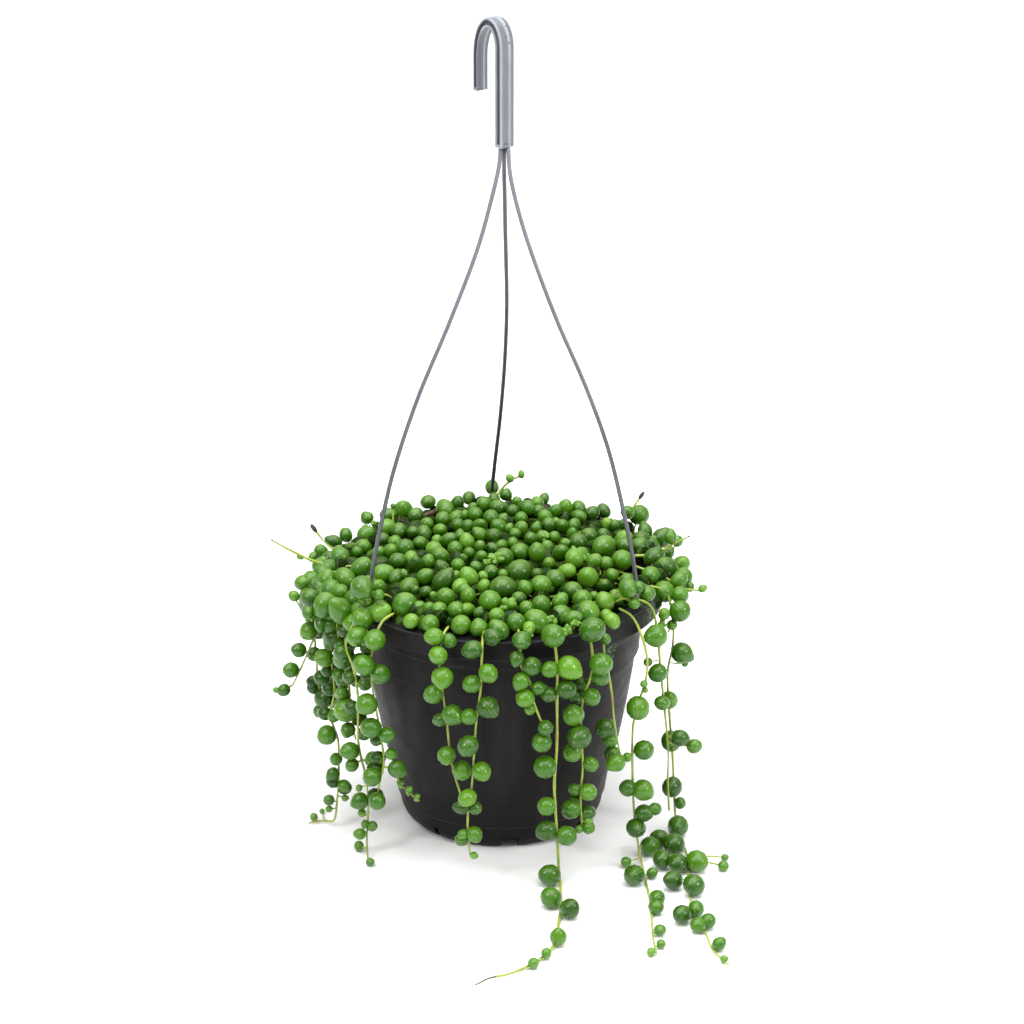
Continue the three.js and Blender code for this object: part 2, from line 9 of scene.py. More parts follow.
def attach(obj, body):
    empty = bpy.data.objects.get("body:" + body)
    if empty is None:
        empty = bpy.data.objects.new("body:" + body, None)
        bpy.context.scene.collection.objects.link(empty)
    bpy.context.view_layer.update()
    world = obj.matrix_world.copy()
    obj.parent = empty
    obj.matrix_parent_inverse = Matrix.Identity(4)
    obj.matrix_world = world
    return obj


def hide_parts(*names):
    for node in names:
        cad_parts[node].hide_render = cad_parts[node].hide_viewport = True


# A string of pearls in its hanging pot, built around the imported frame. Shapes are worked out in
# millimetres, and times mm they are the metres that Blender works in.
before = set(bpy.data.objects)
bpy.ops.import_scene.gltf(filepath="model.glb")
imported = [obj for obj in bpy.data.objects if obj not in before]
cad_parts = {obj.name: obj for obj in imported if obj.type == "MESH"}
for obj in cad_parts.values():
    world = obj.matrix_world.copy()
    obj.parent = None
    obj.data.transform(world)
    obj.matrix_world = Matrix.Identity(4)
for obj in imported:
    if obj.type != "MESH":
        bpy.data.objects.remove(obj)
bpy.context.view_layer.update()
mm = 0.001
up = Vector((0, 0, 1))

# The picture's view of the pot: a square of 1024 points a side, seen from a place in metres.
view = {
    "place": Vector((0.005, -1.413, 0.698)),
    "pitch": math.radians(21.2),
    "focal": 3290,  # points
    "side": 1024,
    "sensor": 36,
    "nearest": 0.05,
}


def makeCamera():
    data = bpy.data.cameras.new("camera")
    data.sensor_width = view["sensor"]
    data.lens = view["focal"] * view["sensor"] / view["side"]
    data.clip_start = view["nearest"]
    camera = bpy.data.objects.new("camera", data)
    camera.location = view["place"]
    camera.rotation_euler = (math.pi / 2 - view["pitch"], 0, 0)
    bpy.context.scene.collection.objects.link(camera)
    bpy.context.scene.camera = camera


def sightLine(x, y):
    # the way from the camera through a point of the picture, one metre deep
    across = (x - view["side"] / 2) / view["focal"]
    rise = (view["side"] / 2 - y) / view["focal"]
    c, s = math.cos(view["pitch"]), math.sin(view["pitch"])
    return Vector((across, c + rise * s, rise * c - s))


def sightAt(x, y, depth):
    # the place in millimetres where that line reaches a depth y
    line = sightLine(x, y)
    return (view["place"] + line * ((depth * mm - view["place"].y) / line.y)) / mm


def sightDown(x, y, high):
    # the place in millimetres where that line comes down to a height
    line = sightLine(x, y)
    return (view["place"] + line * ((high * mm - view["place"].z) / line.z)) / mm


def inPicture(at):
    # the point of the picture where a place in millimetres is seen, and how deep it lies
    way = at * mm - view["place"]
    c, s = math.cos(view["pitch"]), math.sin(view["pitch"])
    deep = way.y * c - way.z * s
    return (view["side"] / 2 + view["focal"] * way.x / deep,
            view["side"] / 2 - view["focal"] * (way.y * s + way.z * c) / deep, deep / mm)


def measured(across, at):
    # the size in millimetres of what is seen at a place, so many points across
    return across * (at * mm - view["place"]).length / view["focal"] / mm


makeCamera()
print("camera is set")


class Finish:
    # one material with its node tree, and short ways to add nodes to it
    def __init__(self, name):
        self.material = bpy.data.materials.new(name)
        self.material.use_nodes = True
        self.tree = self.material.node_tree
        self.shader = self.tree.nodes["Principled BSDF"]
        self.coords = self.node("ShaderNodeTexCoord").outputs["Object"]

    def node(self, kind, **values):
        made = self.tree.nodes.new(kind)
        for key, value in values.items():
            setattr(made, key, value)
        return made

    def link(self, source, target):
        self.tree.links.new(source, target)

    def put(self, socket, value):
        if isinstance(value, bpy.types.NodeSocket):
            self.link(value, socket)
        else:
            socket.default_value = value

    def set(self, **values):
        for key, value in values.items():
            self.put(self.shader.inputs[key.replace("_", " ")], value)

    def stretched(self, coords, scale, turn=(0, 0, 0)):
        made = self.node("ShaderNodeMapping")
        self.link(coords, made.inputs["Vector"])
        made.inputs["Scale"].default_value = scale
        made.inputs["Rotation"].default_value = turn
        return made.outputs["Vector"]

    def noise(self, scale, detail=3, roughness=0.5, coords=None):
        made = self.node("ShaderNodeTexNoise")
        self.link(coords or self.coords, made.inputs["Vector"])
        made.inputs["Scale"].default_value = scale
        made.inputs["Detail"].default_value = detail
        made.inputs["Roughness"].default_value = roughness
        return made.outputs["Fac"]

    def cells(self, scale):
        made = self.node("ShaderNodeTexVoronoi")
        self.link(self.coords, made.inputs["Vector"])
        made.inputs["Scale"].default_value = scale
        return made.outputs["Distance"]

    def ramp(self, factor, *stops):
        made = self.node("ShaderNodeValToRGB")
        self.link(factor, made.inputs["Fac"])
        marks = made.color_ramp.elements
        while len(marks) < len(stops):
            marks.new(0.5)
        for mark, (at, colour) in zip(marks, stops):
            mark.position = at
            mark.color = (*colour, 1) if isinstance(colour, tuple) else (colour, colour, colour, 1)
        return made.outputs["Color"]

    def clouds(self, scale, low, high, detail=3, roughness=0.5):
        # soft patches of two colours or two values
        return self.ramp(self.noise(scale, detail, roughness), (0.3, low), (0.7, high))

    def mix(self, factor, a, b, how="MIX"):
        made = self.node("ShaderNodeMix", data_type="RGBA", blend_type=how)
        sockets = [s for s in made.inputs if s.enabled]
        for socket, value in zip(sockets, (factor, a, b)):
            if isinstance(value, tuple):
                value = (*value, 1)
            self.put(socket, value)
        return [s for s in made.outputs if s.enabled][0]

    def both(self, a, b):
        # one colour or mask times another
        return self.mix(1.0, a, b, "MULTIPLY")

    def maths(self, how, a, b=0.0):
        made = self.node("ShaderNodeMath", operation=how)
        self.put(made.inputs[0], a)
        self.put(made.inputs[1], b)
        return made.outputs[0]

    def times(self, a, b):
        return self.maths("MULTIPLY", a, b)

    def away(self, place, reach):
        # the distance from a place, as a share of a reach, both in millimetres
        made = self.node("ShaderNodeVectorMath", operation="DISTANCE")
        self.link(self.coords, made.inputs[0])
        made.inputs[1].default_value = Vector(place) * mm
        return self.maths("DIVIDE", made.outputs["Value"], reach * mm)

    def parts(self, vector):
        apart = self.node("ShaderNodeSeparateXYZ")
        self.link(vector, apart.inputs[0])
        return apart.outputs

    def attribute(self, name):
        made = self.node("ShaderNodeAttribute", attribute_name=name, attribute_type="GEOMETRY")
        return made.outputs["Vector"], self.parts(made.outputs["Vector"])

    def bump(self, height, strength, distance, after=None):
        made = self.node("ShaderNodeBump")
        self.link(height, made.inputs["Height"])
        made.inputs["Strength"].default_value = strength
        made.inputs["Distance"].default_value = distance
        if after:
            self.link(after, made.inputs["Normal"])
        return made.outputs["Normal"]


def around(radius, degrees, z):
    turn = math.radians(degrees)
    return Vector((radius * math.cos(turn), radius * math.sin(turn), z))


def smoothLine(points, step):
    # a curve through the points (centripetal Catmull-Rom), as even short steps
    ends = [points[0] * 2 - points[1], *points, points[-1] * 2 - points[-2]]
    cuts = 14  # of each stretch between two points
    fine = []
    for a, b, c, d in zip(ends, ends[1:], ends[2:], ends[3:]):
        t1 = (b - a).length ** 0.5
        t2 = t1 + (c - b).length ** 0.5
        t3 = t2 + (d - c).length ** 0.5
        for k in range(cuts):
            t = t1 + (t2 - t1) * k / cuts
            ab = a.lerp(b, t / t1)
            bc = b.lerp(c, (t - t1) / (t2 - t1))
            cd = c.lerp(d, (t - t2) / (t3 - t2))
            abc = ab.lerp(bc, t / t2)
            bcd = bc.lerp(cd, (t - t1) / (t3 - t1))
            fine.append(abc.lerp(bcd, (t - t1) / (t2 - t1)))
    fine.append(points[-1].copy())
    line, gone = [fine[0]], 0
    for a, b in zip(fine, fine[1:]):
        stretch = (b - a).length
        gone += stretch
        while gone >= step:
            gone -= step
            line.append(b.lerp(a, gone / stretch))
    if (line[-1] - fine[-1]).length > step * 0.3:
        line.append(fine[-1])
    return line


def smoothFaces(faces, slot=0):
    for face in faces:
        face.material_index = slot
        face.smooth = True


def facesOf(made):
    # the faces of a shape that an operator has just made
    return {f for v in made["verts"] for f in v.link_faces}


def roundEdges(bm, edges, sharper, offset, segments, clamp=False):
    # edges with a sharper angle than this, in radians, are rounded
    sharp = [e for e in edges if len(e.link_faces) == 2 and e.calc_face_angle(0) > sharper]
    bmesh.ops.bevel(bm, geom=sharp, offset=offset * mm, offset_type="OFFSET", segments=segments, profile=0.5,
                    affect="EDGES", material=-1, clamp_overlap=clamp)


def turnedTo(way):
    # a turn that brings the upright axis onto a way
    return way.to_track_quat("Z", "Y").to_matrix()


def spun(bm, profile, steps):
    # turns a profile of (radius, height) in millimetres round the upright axis
    verts = [bm.verts.new((r * mm, 0, z * mm)) for r, z in profile]
    edges = [bm.edges.new(pair) for pair in zip(verts, verts[1:])]
    bmesh.ops.spin(bm, geom=verts + edges, cent=(0, 0, 0), axis=(0, 0, 1), angle=2 * math.pi, steps=steps,
                   use_merge=True)
    bmesh.ops.remove_doubles(bm, verts=bm.verts, dist=1e-6)
    bmesh.ops.recalc_face_normals(bm, faces=bm.faces)


def addTube(bm, line, radius, slot, resolution=1, taper=1.0, wobble=0.0, seed=0):
    # a round stem or rod along a line of places in millimetres
    curve = bpy.data.curves.new("tube", "CURVE")
    curve.dimensions = "3D"
    curve.bevel_depth = radius * mm
    curve.bevel_resolution = resolution
    curve.use_fill_caps = True
    spline = curve.splines.new("POLY")
    spline.points.add(len(line) - 1)
    for k, (point, at) in enumerate(zip(spline.points, line)):
        point.co = (*(at * mm), 1)
        uneven = 1 + wobble * noise.noise(Vector((k * 0.55, seed * 3.7, 0.5)))
        point.radius = uneven * (1 + (taper - 1) * k / len(line))
    holder = bpy.data.objects.new("tube", curve)
    mesh = bpy.data.meshes.new_from_object(holder)
    tube = bmesh.new()
    tube.from_mesh(mesh)
    bmesh.ops.remove_doubles(tube, verts=tube.verts, dist=1e-6)
    smoothFaces(tube.faces, slot)
    tube.to_mesh(mesh)
    tube.free()
    bm.from_mesh(mesh)
    bpy.data.objects.remove(holder)
    bpy.data.meshes.remove(mesh)
    bpy.data.curves.remove(curve)


def finishPiece(bm, name, looks, replaced, levels=0):
    mesh = bpy.data.meshes.new(name)
    bm.to_mesh(mesh)
    bm.free()
    piece = bpy.data.objects.new(name, mesh)
    bpy.context.scene.collection.objects.link(piece)
    for look in looks:
        mesh.materials.append(look)
    if levels:
        soft = piece.modifiers.new("soft", "SUBSURF")
        soft.levels = soft.render_levels = levels
    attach(piece, "root")
    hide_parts(*replaced)
    return piece


def evenNormals(piece):
    even = piece.modifiers.new("even", "WEIGHTED_NORMAL")
    even.keep_sharp = True


pot = {
    # profiles of (radius, height), from the middle of the underside round to the middle of the floor
    "under": [(26, 0), (27, 5), (37, 5), (38.2, 0), (42, 0)],
    "outside": [
        (44.3, 1), (46.3, 3), (47.6, 6), (48.5, 11.6), (49.3, 12.2), (50.4, 20), (55.6, 39.5), (59.2, 58),
        (62, 76), (62.8, 84.6), (64.6, 85.2), (65.3, 99.2), (66.2, 99.8), (67.4, 108),
    ],
    "rim": [(67.6, 115.2), (73.4, 115.2), (73.2, 107.5), (74.7, 107.5), (75, 116), (74.3, 117), (67.2, 117),
            (66.4, 116.2)],
    "inside": [(65.2, 100), (61.4, 82), (57.8, 60), (54.1, 39.5), (48.9, 20), (45.4, 7), (28, 7), (26, 2.2)],
    "floor": 2.2,
    "steps": 144,
    "sharp": math.radians(24),
    "rounding": 0.28,
    "rimRadius": 75,
    "rimTop": 117,
    "skirtFoot": 107.5,
    "drainHoles": 6,
    "drainRadius": 3.5,
    "drainAt": 32,
    "drainTurn": 30,  # degrees
    "drainTool": (5, 9),  # height of its middle, and length
    "notches": 8,
    "notchAt": 43,
    "notchDeep": 12,
    "notchWide": 8,
    "notchNarrow": 2.4,  # every second one
    "notchHigh": 6.2,
    "frontNotch": -85,
    "hangerSeat": 71,
    "hangerAngles": {"left": 213, "right": -29.5, "back": 94},
    "hangerHole": 1.45,
    "hangerTool": (116, 6),
    "body": (0.0046, 0.0044, 0.0049),
    "pale": (0.0076, 0.0069, 0.0070),
    "dust": (0.11, 0.10, 0.09),
    "algae": (0.16, 0.23, 0.10),
    "wearAndHighlight": (0.052, 0.051, 0.053),
    "wearAndHighlightEdges": [11.9, 84.9, 99.5, 107.6, 116.6],  # heights where the wall steps: rubbed pale, with a painted highlight along each edge
    "wearAndHighlightHalf": 0.5,
    "algaeSpots": [((66, -30, 113), 9), ((50, -43, 98), 7), ((70, -14, 114), 7)],  # place and reach
}


def makePotFinish():
    f = Finish("pottedCharcoal")
    cloud = f.noise(22, 4, 0.55)
    body = f.mix(f.ramp(cloud, (0.35, 0.0), (0.7, 1.0)), pot["body"], pot["pale"])
    # faint streaks left by water running down the wall
    streak = f.noise(60, 3, 0.6, f.stretched(f.coords, (1.0, 1.0, 0.09)))
    body = f.mix(f.ramp(streak, (0.52, 0.0), (0.80, 0.09)), body, pot["dust"])
    # specks and scuffs
    speck = f.ramp(f.cells(330), (0.035, 1.0), (0.09, 0.0))
    sparse = f.ramp(f.noise(75, 3, 0.7), (0.5, 0.0), (0.66, 1.0))
    body = f.mix(f.times(f.times(speck, sparse), 0.5), body, pot["dust"])
    scuffsAndPaintedLight = f.noise(40, 5, 0.7, f.stretched(f.coords, (1, 1, 3.2), (0.3, 0.2, 0)))
    body = f.mix(f.ramp(scuffsAndPaintedLight, (0.64, 0.0), (0.74, 0.12)), body, pot["dust"])
    for place, reach in pot["algaeSpots"]:
        close = f.ramp(f.away(place, reach), (0.3, 1.0), (1.0, 0.0))
        flecks = f.ramp(f.noise(600, 4, 0.7), (0.50, 0.0), (0.58, 0.85))
        body = f.mix(f.times(close, flecks), body, pot["algae"])
    # painted highlight with some rubbed wear: pale bands along the edges where the wall steps
    high = f.maths("DIVIDE", f.parts(f.coords)[2], pot["rimTop"] * mm)
    marks = []
    for edge in pot["wearAndHighlightEdges"]:
        for off, wearAndHighlight in ((-pot["wearAndHighlightHalf"], 0.0), (0, 1.0), (pot["wearAndHighlightHalf"], 0.0)):
            marks.append(((edge + off) / pot["rimTop"], wearAndHighlight))
    broken = f.ramp(f.noise(85, 3, 0.6), (0.35, 0.15), (0.62, 0.8))
    body = f.mix(f.times(f.ramp(high, *marks), broken), body, pot["wearAndHighlight"])
    f.set(Base_Color=body, Roughness=f.clouds(120, 0.42, 0.60, 4, 0.6), Specular_IOR_Level=0.14)
    f.set(Sheen_Weight=0.006, Sheen_Roughness=0.45, Sheen_Tint=(1.0, 0.82, 0.70, 1))
    broad = f.bump(f.noise(30, 2), 0.12, 0.0012)
    f.set(Normal=f.bump(f.noise(240, 4, 0.6), 0.10, 0.0004, broad))
    return f.material


def drill(cutter, at, radius, long, segments):
    # a round tool for a hole
    bmesh.ops.create_cone(cutter, cap_ends=True, segments=segments, radius1=radius * mm, radius2=radius * mm,
                          depth=long * mm, matrix=Matrix.Translation(at * mm))


def potCutter():
    # the tools for the drain holes, the hanger's holes and the notches in the foot
    cutter = bmesh.new()
    high, long = pot["drainTool"]
    for k in range(pot["drainHoles"]):
        at = around(pot["drainAt"], k * 360 / pot["drainHoles"] + pot["drainTurn"], high)
        drill(cutter, at, pot["drainRadius"], long, 24)
    high, long = pot["hangerTool"]
    for angle in pot["hangerAngles"].values():
        drill(cutter, around(pot["hangerSeat"], angle, high), pot["hangerHole"], long, 20)
    for k in range(pot["notches"]):
        angle = pot["frontNotch"] + k * 360 / pot["notches"]
        wide = pot["notchNarrow"] if k % 2 else pot["notchWide"]
        size = Matrix.Diagonal((pot["notchDeep"] * mm, wide * mm, 2 * pot["notchHigh"] * mm, 1))
        turn = Matrix.Rotation(math.radians(angle), 4, "Z")
        at = Matrix.Translation(around(pot["notchAt"], angle, 0) * mm)
        bmesh.ops.create_cube(cutter, size=1, matrix=at @ turn @ size)
    return cutter


def cutAway(piece, cutter):
    # takes the tools out of a piece, with the cut applied to its mesh
    tools = bpy.data.meshes.new("tools")
    cutter.to_mesh(tools)
    cutter.free()
    holder = bpy.data.objects.new("tools", tools)
    bpy.context.scene.collection.objects.link(holder)
    cut = piece.modifiers.new("cut", "BOOLEAN")
    cut.operation = "DIFFERENCE"
    cut.solver = "EXACT"
    cut.object = holder
    bpy.context.view_layer.update()
    made = bpy.data.meshes.new_from_object(piece.evaluated_get(bpy.context.evaluated_depsgraph_get()))
    piece.modifiers.clear()
    old = piece.data
    piece.data = made
    made.name = piece.name
    bpy.data.meshes.remove(old)
    bpy.data.objects.remove(holder)


def makePot():
    bm = bmesh.new()
    profile = [(0, 0), *pot["under"], *pot["outside"], *pot["rim"], *pot["inside"], (0, pot["floor"])]
    spun(bm, profile, pot["steps"])
    roundEdges(bm, bm.edges, pot["sharp"], pot["rounding"], 2)
    smoothFaces(bm.faces)
    piece = finishPiece(bm, "pot_body", [makePotFinish()], ["pot"])
    cutAway(piece, potCutter())
    evenNormals(piece)


makePot()
print("pot is made")

soil = {
    "profile": [(0, 2.5), (25.7, 2.5), (27.7, 7.3), (45, 7.3), (48.4, 20), (53.5, 39.5), (57.2, 60),
                (60.8, 82), (64.2, 99), (64.2, 101.5), (60, 102.6)],
    "level": 103,
    "rings": range(54, -1, -6),  # radii of the level top
    "steps": 96,
    "loose": 101,  # above this height it is uneven
    "crumbs": 150,
    "crumbSize": (1.4, 4.2),
    "crumbReach": 62,
    "crumbRough": 0.12,
    "dark": (0.010, 0.006, 0.004),
    "brown": (0.035, 0.020, 0.012),
    "fibre": (0.10, 0.065, 0.04),
    "grit": (0.20, 0.15, 0.10),
}


def makeSoilFinish():
    f = Finish("pottingMix")
    body = f.ramp(f.noise(180, 5, 0.7), (0.3, soil["dark"]), (0.55, soil["brown"]), (0.75, soil["fibre"]))
    body = f.mix(f.ramp(f.cells(260), (0.08, 0.6), (0.2, 0.0)), body, soil["grit"])
    f.set(Base_Color=body, Roughness=f.clouds(300, 0.8, 1.0))
    f.set(Normal=f.bump(f.noise(330, 5, 0.7), 0.9, 0.003))
    return f.material


def strayed(draw, reach):
    # a random way, each of its three numbers up to a reach
    return Vector([draw.uniform(-reach, reach) for _ in range(3)])


def addCrumb(bm, draw):
    size = draw.uniform(*soil["crumbSize"])
    reach = soil["crumbReach"] * math.sqrt(draw.random())
    at = around(reach, draw.uniform(0, 360), soil["level"] + size * 0.2)
    at.x = at.x if draw.random() < 0.5 else abs(at.x)  # more of them at the right, where the soil shows
    shape = Matrix.Diagonal((size * draw.uniform(0.6, 1.2), size, size * draw.uniform(0.4, 0.8), 1)) * 0.5
    shape[3][3] = 1
    turn = Matrix.Rotation(draw.uniform(0, 6.3), 4, Vector((draw.random(), draw.random(), 1)).normalized())
    made = bmesh.ops.create_icosphere(bm, subdivisions=1, radius=mm,
                                      matrix=Matrix.Translation(at * mm) @ turn @ shape)
    for vert in made["verts"]:
        vert.co += strayed(draw, soil["crumbRough"]) * size * mm


def makeSoil():
    draw = random.Random(11)
    bm = bmesh.new()
    spun(bm, soil["profile"] + [(radius, soil["level"]) for radius in soil["rings"]], soil["steps"])
    for vert in bm.verts:
        if vert.co.z > soil["loose"] * mm:
            vert.co.z += (1.6 * noise.fractal(vert.co * 90, 1.0, 2.0, 4) - 0.6) * mm
    for _ in range(soil["crumbs"]):
        addCrumb(bm, draw)
    smoothFaces(bm.faces)
    finishPiece(bm, "soil_fill", [makeSoilFinish()], ["soil"])


makeSoil()
print("soil is made")

hook = {
    "place": (1.9, 0),
    "yaw": math.radians(130),  # the way it opens
    "foot": 323,
    "top": 380,
    "tip": 345.6,
    "depth": 4.2,
    "width": 8,
    "flange": 1.0,
    "web": 1.8,
    # the bar's faces: how far in from the face, and the place across as a share of half the width
    "outerFace": [(0.8, -1), (0.25, -0.64), (0, -0.48), (0, -0.28), (0.6, -0.19), (0.6, 0.46), (0, 0.55),
                  (0, 0.76), (0.35, 1)],
    "innerFace": [(0, 0.66), (0.35, 0.44)],
    "nearBend": (7, 11),  # half width and height of the bend over the shank
    "farBend": (10, 17),  # and of its wider fall to the tip
    "bendSteps": 44,
    "tipShare": 0.74,  # the tip's section as a share of the shank's
    "plug": 1.4,  # length of the solid stretch at the foot and at the tip
    "shy": 0.02,  # the plugs stay this far inside the bar
    "sharp": math.radians(35),
    "rounding": 0.24,
    "shade": (0.300, 0.322, 0.372),
    "light": (0.400, 0.422, 0.470),
    "wearAndHighlight": (0.25, 0.25, 0.26),
    "hole": (0.03, 0.03, 0.035),
    "dents": [(2.4, 1.8, 376.3), (2.8, -0.8, 372.3), (3.7, -0.95, 369.7)],  # marks left by the mould
    "dentReach": 0.9,
    # across the bar, from its right edge to its left: painted highlight along the ridges, painted shade over
    # the rest
    "scuffsAndPaintedLight": [(0.0, 0.36), (0.18, 0.42), (0.30, 0.48), (0.345, 1.0), (0.40, 1.0), (0.44, 0.48), (0.72, 0.42),
               (0.89, 0.48), (0.935, 0.88), (0.99, 0.70)],
    "paintedLightFrom": 0.682,  # from the pot's middle to the bar's left edge, as a share of its width
}


def makeHookFinish():
    f = Finish("hookGrey")
    body = f.clouds(45, hook["shade"], hook["light"])
    # painted highlight on the ridges and painted shade between them, across the bar
    turned = f.parts(f.stretched(f.coords, (1, 1, 1), (0, 0, -hook["yaw"])))[1]
    side = f.maths("ADD", f.maths("DIVIDE", turned, hook["width"] * mm), hook["paintedLightFrom"])
    body = f.both(body, f.ramp(side, *hook["scuffsAndPaintedLight"]))
    body = f.mix(f.ramp(f.noise(500, 4, 0.7), (0.62, 0.0), (0.8, 0.25)), body, hook["wearAndHighlight"])
    hollow = None
    # painted shade: each mould mark's hollow is darkened
    for place in hook["dents"]:
        close = f.ramp(f.away(place, hook["dentReach"]), (0.25, 1.0), (1.0, 0.0))
        body = f.mix(f.times(close, 0.75), body, hook["hole"])
        hollow = close if hollow is None else f.maths("ADD", hollow, close)
    f.set(Base_Color=body, Roughness=f.clouds(90, 0.38, 0.50), Specular_IOR_Level=0.35)
    f.set(Subsurface_Weight=0.08, Subsurface_Radius=(1, 1, 1), Subsurface_Scale=0.0012)
    sunk = f.bump(f.times(hollow, -1), 0.6, 0.0005)
    f.set(Coat_Weight=0.03, Coat_Roughness=0.10, Normal=f.bump(f.noise(140, 2), 0.10, 0.0006, sunk))
    return f.material


def hookLine():
    # the bar's middle line: (out from the shank, height, way along it, share of the full section)
    apex = hook["top"] - hook["depth"] / 2
    (nearWide, nearHigh), (farWide, farHigh) = hook["nearBend"], hook["farBend"]
    line = [(0, hook["foot"], (0, 1), 1), (0, hook["foot"] + hook["plug"], (0, 1), 1)]
    for k in range(hook["bendSteps"] + 1):
        turn = math.pi * k / hook["bendSteps"]
        c, s = math.cos(turn), math.sin(turn)
        wide, high = (nearWide, nearHigh) if c > 0 else (farWide, farHigh)
        way = Vector((wide * s, high * c)).normalized()
        share = 1 - (1 - hook["tipShare"]) * max(0.0, -c)
        line.append((nearWide - wide * c, apex - high + high * s, way, share))
    reach = nearWide + farWide
    for height in (hook["tip"] + hook["plug"], hook["tip"]):
        line.append((reach, height, (0, -1), hook["tipShare"]))
    return line


def hookSections():
    # the bar's section, channelled down both sides, and the solid one of its plugs
    d, w, f, t = hook["depth"] / 2, hook["width"] / 2, hook["flange"], hook["web"] / 2
    outerFace = [(u - d, v * w) for u, v in hook["outerFace"]]
    inner = [(f - d, w), (f - d, t), (d - f, t), (d - f, w), (d, w)]
    inner += [(d - u, v * w) for u, v in hook["innerFace"]]
    channelled = outerFace + inner + [(u, -v) for u, v in reversed(inner)]
    plain = outerFace[:3] + outerFace[-2:] + [(d, w), (d, -w)]
    shy = hook["shy"]
    solid = [(min(u + shy, d - shy), max(shy - w, min(w - shy, v))) for u, v in plain]
    return channelled, solid


def hookBar(bm, section, line):
    # a face drawn out through the stops of the line: first straight, a unit for each, and then bent
    face = bm.faces.new([bm.verts.new((out, side, 0)) for out, side in section])
    made, end = list(face.verts), [face]
    for _ in line[1:]:
        drawn = bmesh.ops.extrude_face_region(bm, geom=end)["geom"]
        raised = [g for g in drawn if isinstance(g, bmesh.types.BMVert)]
        bmesh.ops.translate(bm, verts=raised, vec=up)
        bmesh.ops.delete(bm, geom=[f for f in end if f is not face], context="FACES_ONLY")
        end = [g for g in drawn if isinstance(g, bmesh.types.BMFace)]
        made += raised
    for vert in made:
        out, height, way, share = line[round(vert.co.z)]
        a, b = vert.co.x * share, vert.co.y * share
        vert.co = Vector((out + way[1] * a, b, height - way[0] * a)) * mm


def makeHook():
    channelled, solid = hookSections()
    line = hookLine()
    bm = bmesh.new()
    for section, stops in ((channelled, line), (solid, line[:2]), (solid, line[-2:])):
        hookBar(bm, section, stops)
    bmesh.ops.recalc_face_normals(bm, faces=bm.faces)
    roundEdges(bm, bm.edges, hook["sharp"], hook["rounding"], 3, clamp=True)
    smoothFaces(bm.faces)
    place = Matrix.Translation(Vector((*hook["place"], 0)) * mm)
    bmesh.ops.transform(bm, matrix=place @ Matrix.Rotation(hook["yaw"], 4, "Z"), verts=bm.verts)
    evenNormals(finishPiece(bm, "hook_body", [makeHookFinish()], ["hanger_hook"]))


makeHook()
print("hook is made")

hanger = {
    "radius": 0.97,
    "top": 322.7,
    "ledge": 1.8,
    "step": 4,
    "seatRun": (3, -6),  # heights over the rim's top where the last stretch starts and ends
    "barb": {"below": 2.55, "long": 4.5, "thin": 0.7, "wide": 2.1, "rounding": 0.2},  # under the ledge
    "strands": {  # the place at the top, and the way down to the rim
        "left": ((0, -0.9), [
            (-0.5, -1.1, 316), (-1.6, -1.5, 310), (-3.8, -3, 301), (-10, -7, 279), (-23, -15, 246),
            (-37, -24, 214), (-48, -31, 182), (-54, -35, 157), (-58, -37.6, 136)]),
        "right": ((3.4, -0.9), [
            (4, -1.4, 312), (5.5, -2.6, 304), (11.4, -6.4, 283), (24.6, -13.6, 248), (38.1, -21.6, 218),
            (48.1, -27.4, 191), (55.3, -31.6, 162), (60.3, -33.8, 136)]),
        "back": ((1.6, 1.7), [
            (1.5, 3, 311), (1.7, 7, 301), (2, 16, 279), (2.6, 30, 240), (1.5, 42, 207), (-0.6, 51, 178),
            (-3.2, 59, 152), (-4.9, 65, 132)]),
    },
    "shade": (0.150, 0.152, 0.175),
    "light": (0.215, 0.216, 0.240),
    "dark": (0.045, 0.041, 0.045),
    "specks": (0.10, 0.10, 0.11),
    "behind": 2.5,  # past this depth y a strand is painted darker, as shade
    "darkening": [(0.40, (0.33, 0.35, 0.38)), (0.62, (0.50, 0.52, 0.56)), (0.95, (0.84, 0.85, 0.88))],
}


def makeHangerFinish():
    f = Finish("hangerGrey")
    body = f.clouds(38, hanger["shade"], hanger["light"], 3, 0.6)
    # painted shade: the strand at the back is darker
    behind = f.ramp(f.maths("DIVIDE", f.parts(f.coords)[1], hanger["behind"] * mm), (0.3, 0.0), (1.0, 0.80))
    body = f.mix(behind, body, hanger["dark"])
    body = f.mix(f.ramp(f.noise(650, 3, 0.7), (0.6, 0.0), (0.8, 0.35)), body, hanger["specks"])
    # and all of them darken toward the pot
    high = f.maths("DIVIDE", f.parts(f.coords)[2], hanger["top"] * mm)
    body = f.both(body, f.ramp(high, *hanger["darkening"]))
    f.set(Base_Color=body, Roughness=f.clouds(120, 0.28, 0.42))
    f.set(Coat_Weight=0.15, Coat_Roughness=0.2, Normal=f.bump(f.noise(260, 3), 0.2, 0.0004))
    return f.material


def makeHangers():
    look, barb = makeHangerFinish(), hanger["barb"]
    for side, (top, bow) in hanger["strands"].items():
        bm = bmesh.new()
        angle = pot["hangerAngles"][side]
        points = [Vector((*top, hanger["top"])), *map(Vector, bow)]
        points += [around(pot["hangerSeat"], angle, pot["rimTop"] + more) for more in hanger["seatRun"]]
        addTube(bm, smoothLine(points, hanger["step"]), hanger["radius"], 0, resolution=3)
        tip = around(pot["hangerSeat"], angle, pot["rimTop"] - hanger["ledge"] - barb["below"])
        made = bmesh.ops.create_cone(bm, cap_ends=True, segments=16, radius1=barb["thin"] * mm,
                                     radius2=barb["wide"] * mm, depth=barb["long"] * mm,
                                     matrix=Matrix.Translation(tip * mm))
        roundEdges(bm, {e for v in made["verts"] for e in v.link_edges}, 0.9, barb["rounding"], 2)
        smoothFaces(bm.faces)
        finishPiece(bm, "hanger_" + side, [look], ["hanger_strand_" + side])


makeHangers()
print("hanger strands are made")

